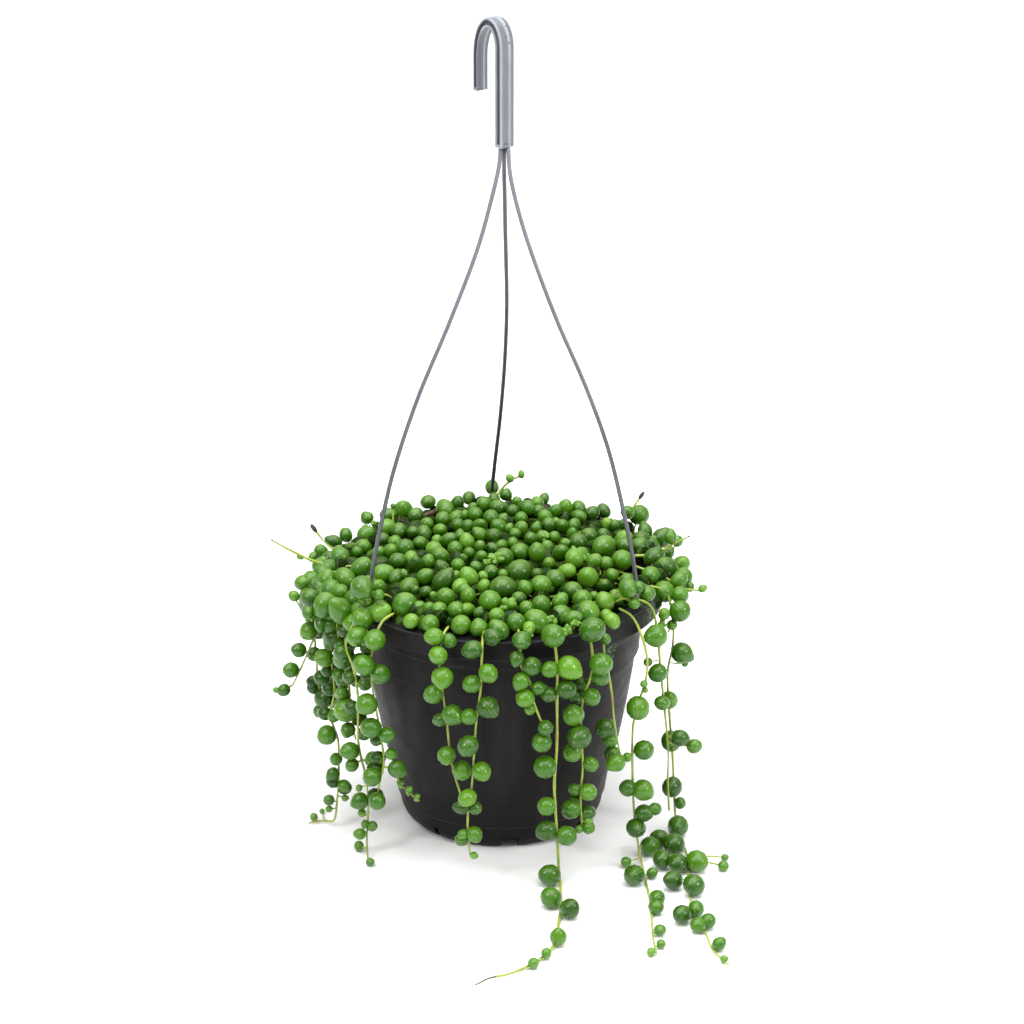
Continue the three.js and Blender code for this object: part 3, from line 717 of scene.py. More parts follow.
pearl = {
    "around": 6,
    "along": 5,
    "points": [0.03, 0.10, 0.16, 0.22, 0.38],  # how far the tip is drawn out: blunt to beaked leaves
    "across": 1.27,  # the cage stands this much over the smooth leaf, across and along
    "length": 1.09,
    "pole": 0.95,  # heights on a ball of radius 1: past these are its poles, and the ring below the tip
    "shoulder": 0.6,
    "slimmer": 0.35,  # the ring below the tip, as a share of the tip's own drawing out
    "base": 0.06,  # how far the base is pushed in
    "roll": 0.5,  # how unevenly the windows face up, in radians
    "widths": (0.91, 1.03),
    "lengths": (0.94, 1.03),
    "rest": 0.53,  # height of the middle of a leaf that lies on the surface, as a share of its size
    "gap": (0.0010, 0.0045, 0.0004),
    "deep": (0.006, 0.034, 0.002),
    "middle": (0.032, 0.126, 0.002),
    "light": (0.105, 0.262, 0.008),
    "young": (0.20, 0.40, 0.060),
    "bloom": (0.160, 0.300, 0.020),
    "tip": (0.26, 0.22, 0.06),
}

# The short stalk between a stem and a leaf.
stalk = {
    "least": 0.4,  # shorter ones are left out
    "sides": 6,
    "cage": 1.25,  # the smoothing narrows it, and rounds its ends
    "taper": 0.8,
    "seat": 0.40,  # it ends this far from the leaf's middle, as a share of the leaf's size
    "thick": 0.55,
    "thin": 0.4,
    "thinUnder": 6,  # leaves up to this size have thin ones
}

stemSlot, drySlot = 1, 2  # in plantLooks, where the leaf itself comes first


def makePearlFinish():
    f = Finish("pearlLeaf")
    place, (x, y, z) = f.attribute("pearlPlace")
    _, (tint, youth, bloom) = f.attribute("pearlTint")
    mottle = f.noise(260, 3, 0.55)
    # the lowest tints are painted shade: leaves deep among the others go near black
    shade = f.maths("ADD", tint, f.times(f.maths("SUBTRACT", mottle, 0.5), 0.25))
    body = f.ramp(shade, (0.02, pearl["gap"]), (0.14, pearl["deep"]), (0.45, pearl["middle"]),
                  (1.0, pearl["light"]))
    # fine veins run from the base of a leaf to its tip
    veins = f.noise(5, 2, 0.5, f.stretched(place, (2.6, 2.6, 0.35)))
    body = f.mix(f.ramp(veins, (0.45, 0.0), (0.75, 0.12)), body, pearl["light"])
    # the clear window down one side: a dark line between pale borders
    side = f.maths("ABSOLUTE", f.maths("ADD", x, f.times(z, 0.12)))
    front = f.ramp(y, (0.0, 0.0), (0.35, 1.0))
    line = f.both(f.ramp(side, (0.02, 0.20), (0.08, 0.0)), front)
    border = f.both(f.ramp(side, (0.05, 0.0), (0.10, 0.22), (0.19, 0.0)), front)
    body = f.mix(border, body, pearl["young"])
    body = f.mix(line, body, pearl["deep"])
    # paler where it joins the stem, and a dry point at the tip
    body = f.mix(f.ramp(f.times(z, -1), (0.78, 0.0), (1.0, 0.4)), body, pearl["young"])
    body = f.mix(f.ramp(z, (0.96, 0.0), (1.0, 0.7)), body, pearl["tip"])
    fresh = f.mix(f.times(mottle, 0.5), pearl["young"], pearl["light"])
    body = f.mix(youth, body, fresh)
    # painted top light with a waxy bloom: paler on what faces up
    facing = f.node("ShaderNodeNewGeometry").outputs["Normal"]
    top = f.ramp(f.parts(facing)[2], (0.25, 0.0), (0.95, 0.50))
    patchy = f.ramp(f.noise(190, 4, 0.6), (0.35, 0.55), (0.7, 1.0))
    body = f.mix(f.both(f.both(top, patchy), bloom), body, pearl["bloom"])
    body = f.mix(f.ramp(f.cells(1100), (0.14, 0.22), (0.28, 0.0)), body, pearl["bloom"])
    f.set(Base_Color=body, Roughness=f.ramp(f.noise(420, 3, 0.6), (0.3, 0.24), (0.75, 0.34)))
    f.set(Subsurface_Weight=0.10, Subsurface_Radius=(0.5, 1.0, 0.08), Subsurface_Scale=0.0025)
    # leaves in the dark of the crown shine less
    f.set(Specular_IOR_Level=f.ramp(tint, (0.02, 0.02), (0.28, 0.40)), Coat_Roughness=0.12)
    f.set(Coat_Weight=f.ramp(tint, (0.05, 0.0), (0.30, 0.16)))
    f.set(Sheen_Weight=0.26, Sheen_Roughness=0.17, Sheen_Tint=(0.92, 1.0, 0.26, 1))
    fine = f.bump(f.noise(900, 3, 0.6), 0.08, 0.0002)
    f.set(Normal=f.bump(f.noise(150, 2, 0.5), 0.14, 0.0005, fine))
    return f.material


def makeStemFinish():
    f = Finish("stem")
    long = f.noise(55, 3, 0.6)
    body = f.ramp(long, (0.35, (0.15, 0.25, 0.022)), (0.54, (0.30, 0.40, 0.04)),
                  (0.72, (0.27, 0.16, 0.045)))
    body = f.mix(f.ramp(f.noise(700, 2), (0.4, 0.0), (0.8, 0.5)), body, (0.36, 0.38, 0.12))
    f.set(Base_Color=body, Roughness=f.clouds(300, 0.42, 0.6))
    f.set(Subsurface_Weight=0.12, Subsurface_Radius=(0.8, 1.0, 0.2), Subsurface_Scale=0.001)
    f.set(Normal=f.bump(f.noise(900, 2), 0.35, 0.0003))
    return f.material


def makeDryFinish():
    f = Finish("dryTip")
    body = f.clouds(500, (0.030, 0.015, 0.009), (0.095, 0.050, 0.030), 3, 0.6)
    f.set(Base_Color=body, Roughness=f.clouds(800, 0.6, 0.85))
    f.set(Normal=f.bump(f.noise(1300, 3), 0.5, 0.0003))
    return f.material


plantLooks = [makePearlFinish(), makeStemFinish(), makeDryFinish()]
print("leaf and stem finishes are made")


def plantMesh():
    # an empty mesh that can take pearls: it carries the leaves' two attributes
    bm = bmesh.new()
    bm.verts.layers.float_vector.new("pearlPlace")
    bm.verts.layers.float_vector.new("pearlTint")
    return bm


def makePearlCage(point):
    bm = plantMesh()
    bmesh.ops.create_uvsphere(bm, u_segments=pearl["around"], v_segments=pearl["along"], radius=1)
    place = bm.verts.layers.float_vector["pearlPlace"]
    for vert in bm.verts:
        vert[place] = vert.co
        high = vert.co.z
        if high > pearl["pole"]:
            vert.co.z += point
        elif high > pearl["shoulder"]:
            vert.co.x *= 1 - pearl["slimmer"] * point
            vert.co.y *= 1 - pearl["slimmer"] * point
        elif high < -pearl["pole"]:
            vert.co.z += pearl["base"]
        vert.co *= pearl["across"]
        vert.co.z *= pearl["length"] / pearl["across"]
    smoothFaces(bm.faces)
    mesh = bpy.data.meshes.new("pearlCage")
    bm.to_mesh(mesh)
    bm.free()
    return mesh


pearlCages = [makePearlCage(point) for point in pearl["points"]]


def addPearl(bm, at, size, tip, draw, tint=0.4, youth=0.0, bloom=0.3, long=1.0):
    # one leaf: its middle and size in millimetres, its tip pointing along tip
    # the window is on the side that faces up
    turn = turnedTo(tip) @ Matrix.Rotation(draw.gauss(0, pearl["roll"]), 3, "Z")
    wide, deep = draw.uniform(*pearl["widths"]), draw.uniform(*pearl["widths"])
    shape = Matrix.Diagonal((wide, deep, long * draw.uniform(*pearl["lengths"]))) * (size / 2 * mm)
    leaf = draw.choice(pearlCages).copy()
    leaf.transform(Matrix.Translation(at * mm) @ (turn @ shape).to_4x4())
    leaf.attributes["pearlTint"].data.foreach_set("vector", (tint, youth, bloom) * len(leaf.vertices))
    bm.from_mesh(leaf)
    bpy.data.meshes.remove(leaf)


def addStalk(bm, a, b, thick):
    way = b - a
    if way.length < stalk["least"]:
        return
    wide = thick * stalk["cage"]
    place = Matrix.Translation((a + b) / 2 * mm) @ turnedTo(way).to_4x4()
    made = bmesh.ops.create_cone(bm, cap_ends=True, segments=stalk["sides"], radius1=wide * mm,
                                 radius2=wide * stalk["taper"] * mm, depth=(way.length + 2 * thick) * mm,
                                 matrix=place)
    smoothFaces(facesOf(made), stemSlot)


def growPearl(bm, foot, away, middle, size, tip, draw, thick=None, **look):
    # a leaf, and the stalk that comes to it from a stem along the way away
    addPearl(bm, middle, size, tip.normalized(), draw, **look)
    usual = stalk["thick"] if size > stalk["thinUnder"] else stalk["thin"]
    addStalk(bm, foot, middle - away.normalized() * size * stalk["seat"], thick or usual)


def addYoungCluster(bm, at, size, way, draw, count):
    # a tuft of small leaves that crowd round a growing tip
    side = way.orthogonal().normalized()
    for k in range(count):
        turn = Matrix.Rotation(k * 2.4 + draw.uniform(-0.3, 0.3), 3, way)
        lean = (way * draw.uniform(0.0, 1.2) + turn @ side * draw.uniform(0.5, 1.0)).normalized()
        small = size * draw.uniform(0.42, 0.64)
        youth, tint = draw.uniform(0.0, 0.35), draw.uniform(0.5, 0.9)
        addPearl(bm, at + lean * size * 0.25, small, lean, draw, tint=tint, youth=youth, bloom=0.6,
                 long=draw.uniform(1.1, 1.5))


# Each strand hangs straight below the rim at its own depth y: hang is (x, z) down the stem, floor is (x, y)
# along the surface. A pearl is (mm down the stem from the rim, mm to the right, size), a tuft the same, and
# a twig's leaf (mm down, mm right, mm further along, size). Where leaves crowd, seen holds them by their
# places in the picture: x, y, size across, and behind counts those half hidden by them.
strands = {
    "strand_front_1": {
        "y": -77,
        "hang": [(-27, 106), (-26, 95), (-24, 79), (-23, 66), (-21, 54), (-18, 43), (-16, 36)],
        "pearls": [(0, 4, 6.6), (0, -3.6, 8), (9, -0.9, 8.4), (18, 1, 9.3), (28, -4.6, 8.4), (36, 3, 9),
                   (41, -3, 6), (55, -1.4, 8.2), (64, 3.8, 8.2)],
    },
    "strand_front_2": {
        "y": -82,
        "hang": [(-8.5, 107), (-9, 96), (-11, 81), (-12, 65), (-13, 50), (-15, 33), (-14, 15)],
        "pearls": [(-2, 4, 8), (6, -4.3, 8.4), (15, 3, 8.4), (20, -4.9, 8), (30, 4, 9.4), (38, -3.4, 7),
                   (51, -2.9, 9.4), (61, 3.7, 8.5), (75, -1.4, 8.2), (80, -3.2, 6.6), (81, 3.3, 5.8),
                   (93, 3, 7.2), (93, -2.1, 5), (99, -3, 6), (106, 1.8, 3.6)],
    },
    "strand_front_3": {
        "y": -81,
        "hang": [(9, 108), (13, 101), (14, 93), (17, 84), (22, 73)],
        "pearls": [(3, 0.6, 8.4), (9, -1.4, 6.6), (15, 4.2, 8.4), (17, -3.2, 7.5), (25, 3, 6.2),
                   (27, -3, 8), (34, -3.3, 5), (42, 0.8, 7.2), (48, -3.8, 8.5)],
    },
    "strand_front_4": {
        "y": -80,
        "thick": 0.92,
        "dryEnd": 5, # steps
        "hang": [(25, 108), (25, 92), (25, 68), (24, 50), (25, 30), (26, 12), (26.6, 3.6)],
        "floor": [(27, -90), (27, -104), (25, -127), (23, -142), (14, -157), (2, -167), (-4, -169),
                  (-11, -176)],
        "pearls": [(1, 0, 10.6), (14, 6, 10.4), (15, -3.2, 7.2), (23, 4, 8.5), (27, -4, 7.2),
                   (62, -4.6, 9.8), (82, -3.8, 8.1), (93, -4.9, 9), (99, 4.5, 8.6), (121, -4.6, 9.4),
                   (141, -4.6, 9), (151, 5, 9), (176, 1.4, 7.5), (191, 1.4, 4.8), (200, 1.8, 4.8)],
    },
    "strand_front_5": {
        "y": -72,
        "hang": [(41, 107), (40, 98), (37, 90), (36, 80), (36, 68), (37, 56), (36, 40), (37, 22)],
        "pearls": [(3, 2.2, 11.4), (13, 3.6, 9.8), (21, 4.6, 8), (29, 3.4, 7.6), (40, -3.6, 9.4),
                   (51, -0.9, 10.6), (58, -4.5, 8.5), (65, 3.7, 6.8), (78, 3.3, 7.7), (79, -3, 5.6),
                   (87, -4.6, 9), (94, 3, 4), (96, -1.5, 4), (97, 3.6, 5.8)],
        "behind": 5,
    },
    "strand_front_6": {
        "y": -64,
        "hang": [(46, 108), (48, 98), (50, 86), (51, 74), (53, 62), (55, 52)],
        "pearls": [(5, 0.5, 5), (48, -4.3, 8.6), (57, -3.7, 6.3), (63, -4.2, 6.8), (67, -2.4, 8.2),
                   (65, 3, 4.2)],
    },
    "strand_left_1": {
        "y": -14,
        "hang": [(-82, 104), (-87, 92), (-92, 80), (-97, 69)],
        "seen": [(309, 631, 18), (299, 650, 15), (291, 670, 16), (284, 690, 13), (276, 690, 6)],
    },
    "strand_left_2": {
        "y": -25,
        "hang": [(-78, 104), (-78, 84), (-77, 71), (-79, 57), (-76, 47), (-76, 28), (-77, 14), (-78.5, 4)],
        "floor": [(-83, -19), (-91, -22)],
        "seen": [(334, 635, 24), (324, 658, 19), (339, 675, 15), (334, 716, 13), (327, 735, 19),
                 (336, 759, 13), (333, 774, 13), (344, 786, 13), (329, 800, 11), (345, 798, 7),
                 (329, 809, 7), (322, 811, 5), (314, 817, 8)],
        "behind": 8,
    },
    "strand_left_3": {
        "y": -52,
        "hang": [(-70, 106), (-67, 96), (-65, 82), (-65, 69), (-65, 56), (-62, 40), (-61, 26), (-62, 8)],
        "floor": [(-61.5, -57), (-60.5, -64)],
        "seen": [(365, 684, 14), (350, 751, 18), (352, 765, 13), (374, 760, 17), (359, 788, 7),
                 (360, 801, 17), (362, 813, 8), (365, 824, 8), (372, 826, 11), (360, 834, 12),
                 (359, 846, 10), (370, 862, 8)],
        "behind": 8,
    },
    "strand_left_4": {
        "y": -62,
        "hang": [(-58, 105), (-58, 92), (-56, 77), (-54, 62), (-53, 53), (-55, 43), (-56, 37)],
        "seen": [(375, 640, 21), (364, 665, 21), (380, 674, 19), (367, 704, 21), (371, 728, 20),
                 (387, 735, 16), (391, 754, 12), (397, 769, 18), (372, 777, 18), (377, 801, 17)],
        "behind": 7,
        "tufts": [(71, 6.5, 0), (78, 8.6, 4.6), (81, 13, 5), (84, 17, 4.4)],
    },
    "strand_left_5": {
        "y": -38,
        "hang": [(-71, 105), (-70, 94), (-69.5, 80), (-69, 66), (-67, 52)],
        "seen": [(344, 658, 23), (342, 693, 12), (346, 710, 23), (355, 713, 13), (348, 730, 15)],
        "behind": 6,
    },
    "strand_left_6": {
        "y": -4,
        "hang": [(-84, 105), (-87, 94), (-86.5, 80), (-86, 68), (-84, 55)],
        "seen": [(319, 631, 17), (314, 654, 14), (322, 678, 17), (324, 698, 20), (319, 711, 12)],
        "behind": 6,
    },
    "strand_right_1": {
        "y": -56,
        "hang": [(65, 106), (66, 97), (65, 88), (62, 79), (60, 68), (60, 44), (61, 24), (63, 8),
                 (63.6, 3.6)],
        "floor": [(65, -70), (67, -103), (67, -135), (68, -149)],
        "seen": [(644, 684, 8), (645, 690, 6), (638, 708, 23), (644, 750, 20), (628, 788, 17),
                 (643, 790, 21), (655, 809, 13), (644, 813, 17), (636, 828, 20), (650, 846, 19),
                 (634, 875, 20), (652, 873, 11), (626, 862, 11), (657, 898, 16), (656, 907, 15),
                 (660, 930, 12), (661, 944, 9), (651, 952, 9)],
    },
    "strand_right_2": {
        "y": -40,
        "hang": [(71, 106), (73, 86), (75, 68), (77, 46), (77, 32), (78, 16)],
        "seen": [(656, 636, 22), (658, 673, 18), (648, 662, 9), (662, 703, 15), (680, 738, 17)],
        "twigs": [(70, 12, 3, 7.4)],
    },
    "strand_right_3": {
        "y": -22,
        "hang": [(79, 104), (79, 92), (77, 80), (78, 60), (80, 36), (81, 18), (82, 4)],
        "floor": [(84, -38), (86, -57), (85, -78), (85, -95), (86, -111), (90, -128), (93, -146),
                  (99, -159)],
        "seen": [(680, 611, 21), (682, 653, 21), (685, 664, 6), (669, 700, 18), (671, 741, 21),
                 (672, 787, 21), (680, 803, 12), (678, 826, 20), (659, 838, 17), (674, 844, 21),
                 (662, 859, 19), (678, 863, 19), (697, 861, 21), (673, 880, 19), (694, 885, 22),
                 (682, 914, 19), (696, 909, 16), (698, 925, 15), (708, 921, 16), (719, 944, 14),
                 (724, 959, 8)],
        "twigs": [(158, 16, 5, 5), (156, 17, -1.5, 3.4)],
    },
}

stem = {
    "radius": 0.72,
    "step": 3.2,
    "taper": 0.72,
    "wobble": 0.35,
    "dryShare": 0.58,  # thickness of a withered end, as a share of the stem's
    "dryTaper": 0.5,
    "lie": 1.3,  # height of a stem that lies on the surface
    "plump": 1.08,  # the listed sizes leave out a leaf's pale rim
    "overRim": [(-5, 4), (3, 2.4)],  # a strand's first places, out from the rim's edge and up
    "reach": 0.46,  # from the stem to a leaf's middle, as a share of the leaf's size
    "beside": 0.62,  # a leaf listed further to the side than this stays there
    "grown": 6.5,  # smaller leaves are young ones
    "seenTint": (0.45, 0.12, 0.26),  # middle, spread, least
    "seenYouth": (0.3, 0.9),
    "listedTint": (0.48, 0.16, 0.24),
    "listedYouth": (0.4, 1),
    "behindSize": (5.5, 8),
    "behindShadeTint": (0.12, 0.35),
    "behindFrom": 6,  # steps from the start, just below the rim's top
    "branch": 0.6,  # radius of a thin side branch
    "crowd": 0.42,  # of two leaves nearer than this share of their sizes together, one moves back
    "crowdMost": 3.5,
}

# The strands round the back and sides follow one rule: (degrees round the pot, length).
ruled = {
    "back": [(53, 102), (71, 81), (89, 70), (108, 106), (126, 72)],
    "side": [(5, 21), (23, 25), (39, 19), (142, 60), (157, 72), (172, 75)],
    "reach": 82,
    "sway": 1.5,
    "swayTurn": 2,  # degrees
    "every": 14,
    "first": 10,
    "size": 8.2,
    "sizeSwing": 1.4,
    "smaller": 3.2,  # toward the end, at most
    "spacing": 1.05,  # as a share of a leaf's size
    "spacingSwing": 0.35,
    "behindOver": 40,  # only strands longer than this have leaves behind the others
    "behindEvery": 11,
}


def overRim(angle):
    # a strand comes out of the crown and over the rim
    return [around(pot["rimRadius"] + out, angle, pot["rimTop"] + high) for out, high in stem["overRim"]]


rimLong = (overRim(0)[0] - overRim(0)[1]).length


def ruledStrand(angle, length, index):
    route = overRim(angle)
    drop = ruled["first"]
    while drop < length + ruled["first"]:
        down = min(drop, length)
        out = ruled["reach"] + ruled["sway"] * math.sin(down * 0.11 + index)
        turn = angle + ruled["swayTurn"] * math.sin(down * 0.06 + 2 * index)
        route.append(around(out, turn, pot["rimTop"] - down))
        drop += ruled["every"]
    pearls, down, k = [], 3, 0
    while down < length - 2:
        size = ruled["size"] + ruled["sizeSwing"] * math.sin(2.1 * k + index)
        size -= ruled["smaller"] * down / (length + 20)
        pearls.append((down, (-1 if k % 2 else 1) * size * 0.5, size))
        down += size * (ruled["spacing"] + ruled["spacingSwing"] * math.sin(1.7 * k + 0.6 * index))
        k += 1
    behind = round(length / ruled["behindEvery"]) if length > ruled["behindOver"] else 0
    return {"route": route, "pearls": pearls, "behind": behind}


def addRuledStrands():
    for side, first in (("back", 0), ("side", 6)):
        for k, (angle, length) in enumerate(ruled[side]):
            strands[f"strand_{side}_{k + 1}"] = ruledStrand(angle, length, k + first)


def routeOf(strand):
    if "route" in strand:
        return strand["route"]
    angle = math.degrees(math.atan2(strand["y"], strand["hang"][0][0]))
    down = [Vector((px, strand["y"], pz)) for px, pz in strand["hang"]]
    along = [Vector((px, py, stem["lie"])) for px, py in strand.get("floor", [])]
    return overRim(angle) + down + along


def frameAt(line, k, facing):
    # the place, the way down the stem, right and outward, at step k of a stem
    at = line[k]
    way = (line[min(k + 1, len(line) - 1)] - line[max(k - 1, 0)]).normalized()
    out = (facing or Vector((at.x, at.y, 0)).normalized()) * abs(way.z)
    out.z = 1 - abs(way.z)
    right = out.cross(way).normalized()
    return at, way, right, way.cross(right).normalized()


def frameDown(line, down, facing):
    # the same, at a distance down the stem from the rim
    step = round((down + rimLong) / stem["step"])
    return frameAt(line, max(0, min(len(line) - 1, step)), facing)


def settled(middle, size):
    # a leaf that hangs beside the rim is moved out until it is clear of it, and none is below the surface
    out = math.hypot(middle.x, middle.y)
    clear = pot["rimRadius"] + 0.45 * size
    if out < clear and pot["skirtFoot"] - size / 2 < middle.z < pot["rimTop"]:
        return Vector((middle.x * clear / out, middle.y * clear / out, middle.z))
    return Vector((middle.x, middle.y, max(middle.z, size * pearl["rest"])))


def seenLeaves(line, seen):
    # where the leaves of the picture are: (middle, size, the place on the stem that each grows from)
    found = []
    for px, py, across in seen:
        foot = min(line, key=lambda at: math.dist(inPicture(at)[:2], (px, py)))
        size = across * stem["plump"] * inPicture(foot)[2] / view["focal"]
        hangs = foot.z > size
        middle = sightAt(px, py, foot.y - 0.25 * size) if hangs else sightDown(px, py, pearl["rest"] * size)
        away = (middle * mm - view["place"]).normalized()
        for other, big, _ in found:
            short = stem["crowd"] * (size + big) - (middle - other).length
            if short > 0 and hangs:
                middle = middle + away * min(short, stem["crowdMost"])
        found.append((settled(middle, size), size, foot))
    return found


def leafLook(size, draw, tints, youths):
    # small leaves are young: brighter, and more yellow
    small = max(0.0, 1 - size / stem["grown"])
    middle, spread, least = tints
    return {"tint": min(1, max(least, draw.gauss(middle, spread) + 0.3 * small)),
            "youth": small * draw.uniform(*youths)}


def lifted(tip, middle, size):
    # a leaf that lies on the surface doesn't point into it
    if middle.z < size:
        tip.z = abs(tip.z)
    return tip


def addSeen(bm, line, strand, draw):
    for middle, size, foot in seenLeaves(line, strand.get("seen", [])):
        away = middle - foot
        tip = lifted(away.normalized() + strayed(draw, 0.6) - up * 0.3, middle, size)
        growPearl(bm, foot, away, middle, size, tip, draw,
                  **leafLook(size, draw, stem["seenTint"], stem["seenYouth"]))


def addListed(bm, line, strand, facing, draw):
    for down, side, listed in strand.get("pearls", []):
        size = listed * stem["plump"]
        at, way, right, outward = frameDown(line, down, facing)
        reach = size * stem["reach"]
        near = side if abs(side) > size * stem["beside"] else max(-reach, min(reach, side))
        forward = math.sqrt(max(0, reach ** 2 - near ** 2))
        middle = settled(at + (right * near + outward * forward), size)
        away = middle - at
        stray = strayed(draw, 0.4)
        tip = lifted(away.normalized() + way * draw.uniform(0.1, 0.7) + stray, middle, size)
        growPearl(bm, at, away, middle, size, tip, draw,
                  **leafLook(size, draw, stem["listedTint"], stem["listedYouth"]))


def addBehind(bm, line, strand, facing, draw):
    # leaves that the ones before them half hide, painted darker as shade
    for _ in range(strand.get("behind", 0)):
        size = draw.uniform(*stem["behindSize"])
        at, _, right, outward = frameAt(line, draw.randrange(stem["behindFrom"], len(line) - 2), facing)
        away = right * draw.choice((-0.4, 0.4)) * size - outward * draw.uniform(0.2, 0.4) * size
        growPearl(bm, at, away, settled(at + away, size), size, away, draw, 0.5,
                  tint=draw.uniform(*stem["behindShadeTint"]), bloom=0.2)


def addTwigs(bm, line, strand, facing, draw):
    # a leaf at the end of a thin side branch
    for down, side, along, size in strand.get("twigs", []):
        at, way, right, outward = frameDown(line, down, facing)
        middle = settled(at + right * side + way * along, size)
        bend = at.lerp(middle, 0.5) + outward * 1.2
        addTube(bm, smoothLine([at, bend, middle], 2), stem["branch"], stemSlot, taper=0.7)
        addPearl(bm, middle, size, (right + up * 0.2).normalized(), draw, tint=0.5, youth=0.15)


def addTufts(bm, line, strand, facing, draw):
    # a twig from leaf to leaf: it starts in the first one, which is there already
    last = None
    for down, side, size in strand.get("tufts", []):
        at, way, right, outward = frameDown(line, down, facing)
        middle = at + right * side + outward
        if last:
            addStalk(bm, last, middle, 0.45)
            addYoungCluster(bm, middle, size, (right + way * 0.3).normalized(), draw, 4)
        last = middle


def makeStrand(name, strand, seed):
    draw = random.Random(seed)
    bm = plantMesh()
    line = smoothLine(routeOf(strand), stem["step"])
    for at in line:
        at.z = max(at.z, stem["lie"])
    thick, dry = strand.get("thick", stem["radius"]), strand.get("dryEnd", 0)
    green = line[:1 - dry] if dry else line
    addTube(bm, green, thick, stemSlot, taper=stem["taper"], wobble=stem["wobble"], seed=seed)
    if dry:
        addTube(bm, line[-dry - 1:], thick * stem["dryShare"], drySlot, taper=stem["dryTaper"],
                wobble=stem["wobble"], seed=seed)
    facing = Vector((0, -1, 0)) if "hang" in strand else None
    addSeen(bm, line, strand, draw)
    for add in (addListed, addBehind, addTwigs, addTufts):
        add(bm, line, strand, facing, draw)
    finishPiece(bm, name + "_leaves", plantLooks, [name], 1)


addRuledStrands()
for count, (name, strand) in enumerate(strands.items()):
    makeStrand(name, strand, 100 + count)
print("trailing strands are made:", len(strands))

# Young shoots: the way from the root, leaves as (x, y, z, size), and the size of a withered bud or end.
sprouts = {
    "sprout_left_long": {
        "route": [(-62, 4, 122), (-77, 2, 122), (-88, 0, 126), (-98, -4, 133), (-105, -6, 138)],
        "pearls": [(-93, -1, 128, 3)],
        "withered": 1.6,
    },
    "sprout_left_bud": {
        "route": [(-70, 16, 121), (-80, 17, 125.5), (-84, 18, 129.5), (-86.8, 18, 133.5)],
        "withered": 5,
    },
    "sprout_back": {
        "route": [(-6, 56, 128), (-1, 60, 137), (5, 61, 143), (10, 61, 145)],
        "pearls": [(4, 61, 143.6, 4.2), (9.5, 61, 145.6, 3.6)],
    },
    "sprout_right_bud": {
        "route": [(52, 44, 122), (60, 48, 130), (66, 50, 138)],
        "pearls": [(60, 46, 132, 7)],
        "withered": 4.4,
    },
    "sprout_right_long": {
        "route": [(58, 2, 124), (66, -4, 123), (74, -8, 121.5), (84, -12, 117), (92, -13, 116)],
        "pearls": [(92.8, -13, 117.2, 4), (82, -10, 120, 8)],
    },
    "sprout_right_tip": {
        "route": [(62, 15, 122), (72, 15, 123), (81, 15, 128.5), (87, 14, 132)],
        "pearls": [(79, 16.5, 131, 6.6)],
        "withered": 1.6,
    },
}

shoot = {
    "step": 2,
    "radius": 0.85,
    "taper": 0.6,
    "wobble": 0.5,
    "youngUnder": 5,  # size of the leaves that are still young
    "witheredWide": 0.24,  # half width and half length of what has withered, as shares of its size
    "witheredLong": 0.52,
}


def addWithered(bm, end, way, size):
    at = end + way * size * 0.3
    wide, long = size * shoot["witheredWide"] * mm, size * shoot["witheredLong"] * mm
    place = Matrix.Translation(at * mm) @ turnedTo(way).to_4x4()
    made = bmesh.ops.create_uvsphere(bm, u_segments=10, v_segments=7, radius=1,
                                     matrix=place @ Matrix.Diagonal((wide, wide, long, 1)))
    smoothFaces(facesOf(made), drySlot)


def makeSprout(name, sprout, seed):
    draw = random.Random(seed)
    bm = plantMesh()
    line = smoothLine([Vector(p) for p in sprout["route"]], shoot["step"])
    addTube(bm, line, shoot["radius"], stemSlot, taper=shoot["taper"], wobble=shoot["wobble"], seed=seed)
    way = (line[-1] - line[-2]).normalized()
    for *place, size in sprout.get("pearls", []):
        at = Vector(place)
        near = min(line, key=lambda p: (p - at).length)
        tip = (at - near).normalized() + way * 0.6
        youth = 0.5 if size < shoot["youngUnder"] else 0.1
        addPearl(bm, at, size, tip.normalized(), draw, tint=0.45, youth=youth, long=1.1)
        addStalk(bm, near, at, stalk["thin"])
    if "withered" in sprout:
        addWithered(bm, line[-1], way, sprout["withered"])
    finishPiece(bm, name + "_shoot", plantLooks, [name], 1)


for count, (name, sprout) in enumerate(sprouts.items()):
    makeSprout(name, sprout, 300 + count)
print("sprouts are made:", len(sprouts))

crown = {
    "top": 131.5,
    "fall": 12,
    "power": 2.6,
    "radius": 76,
    "raised": (8.5, 22, 60),  # at the back: how much, and the depths y where that starts and is full
    "spread": [(184, 30, 0.17), (8, 22, 0.10), (-33, 15, -0.15), (-146, 10, -0.05)],  # angle, width, more
    "hollows": [(62, 1, 9), (68, 9, 8), (-74, -18, 5)],  # x, y, radius: places left open
    "depths": range(-84, 86, 2),  # where the sight lines are tried
    "edge": 1.12,  # and how far out, as a share of the radius
    "plump": 1.13,  # the listed sizes leave out what other leaves hide
    "tint": (0.42, 0.14),  # of the leaves in the picture: middle and spread
    "paleTint": (0.70, 0.88),
    "darkest": 0.24,
    "bloom": (0.45, 1.0),
    "partRounds": 14,
    "part": 0.365,  # these leaves move apart to this share of the sum of their sizes
    "partMost": 7,
    "longs": (0.80, 1.24),
    "clusterCount": 7,
    "feetRoot": 121,
    "feetTint": (0.32, 0.58),
}

# The leaves filled in between: every second one tried lies lower, painted dark as shade.
fill = {
    "tries": 5200,
    "sizes": (6.8, 12.0),
    "apart": 0.345,  # as a share of the sum of two leaves' sizes
    "frontWide": 62,  # degrees to each side of the front, where the leaves keep further in
    "top": {"less": 0.12, "sink": (-1.0, 2.5), "tint": (0.22, 0.72)},
    # the lower ones are painted near black, as shade
    "low": {"less": 0.20, "sink": (4.5, 7), "tint": (0.0, 0.11)},
    "topFillBloomAndTopLight": (0.4, 1),
    "lowFillBloomAndTopLight": 0.05,
}

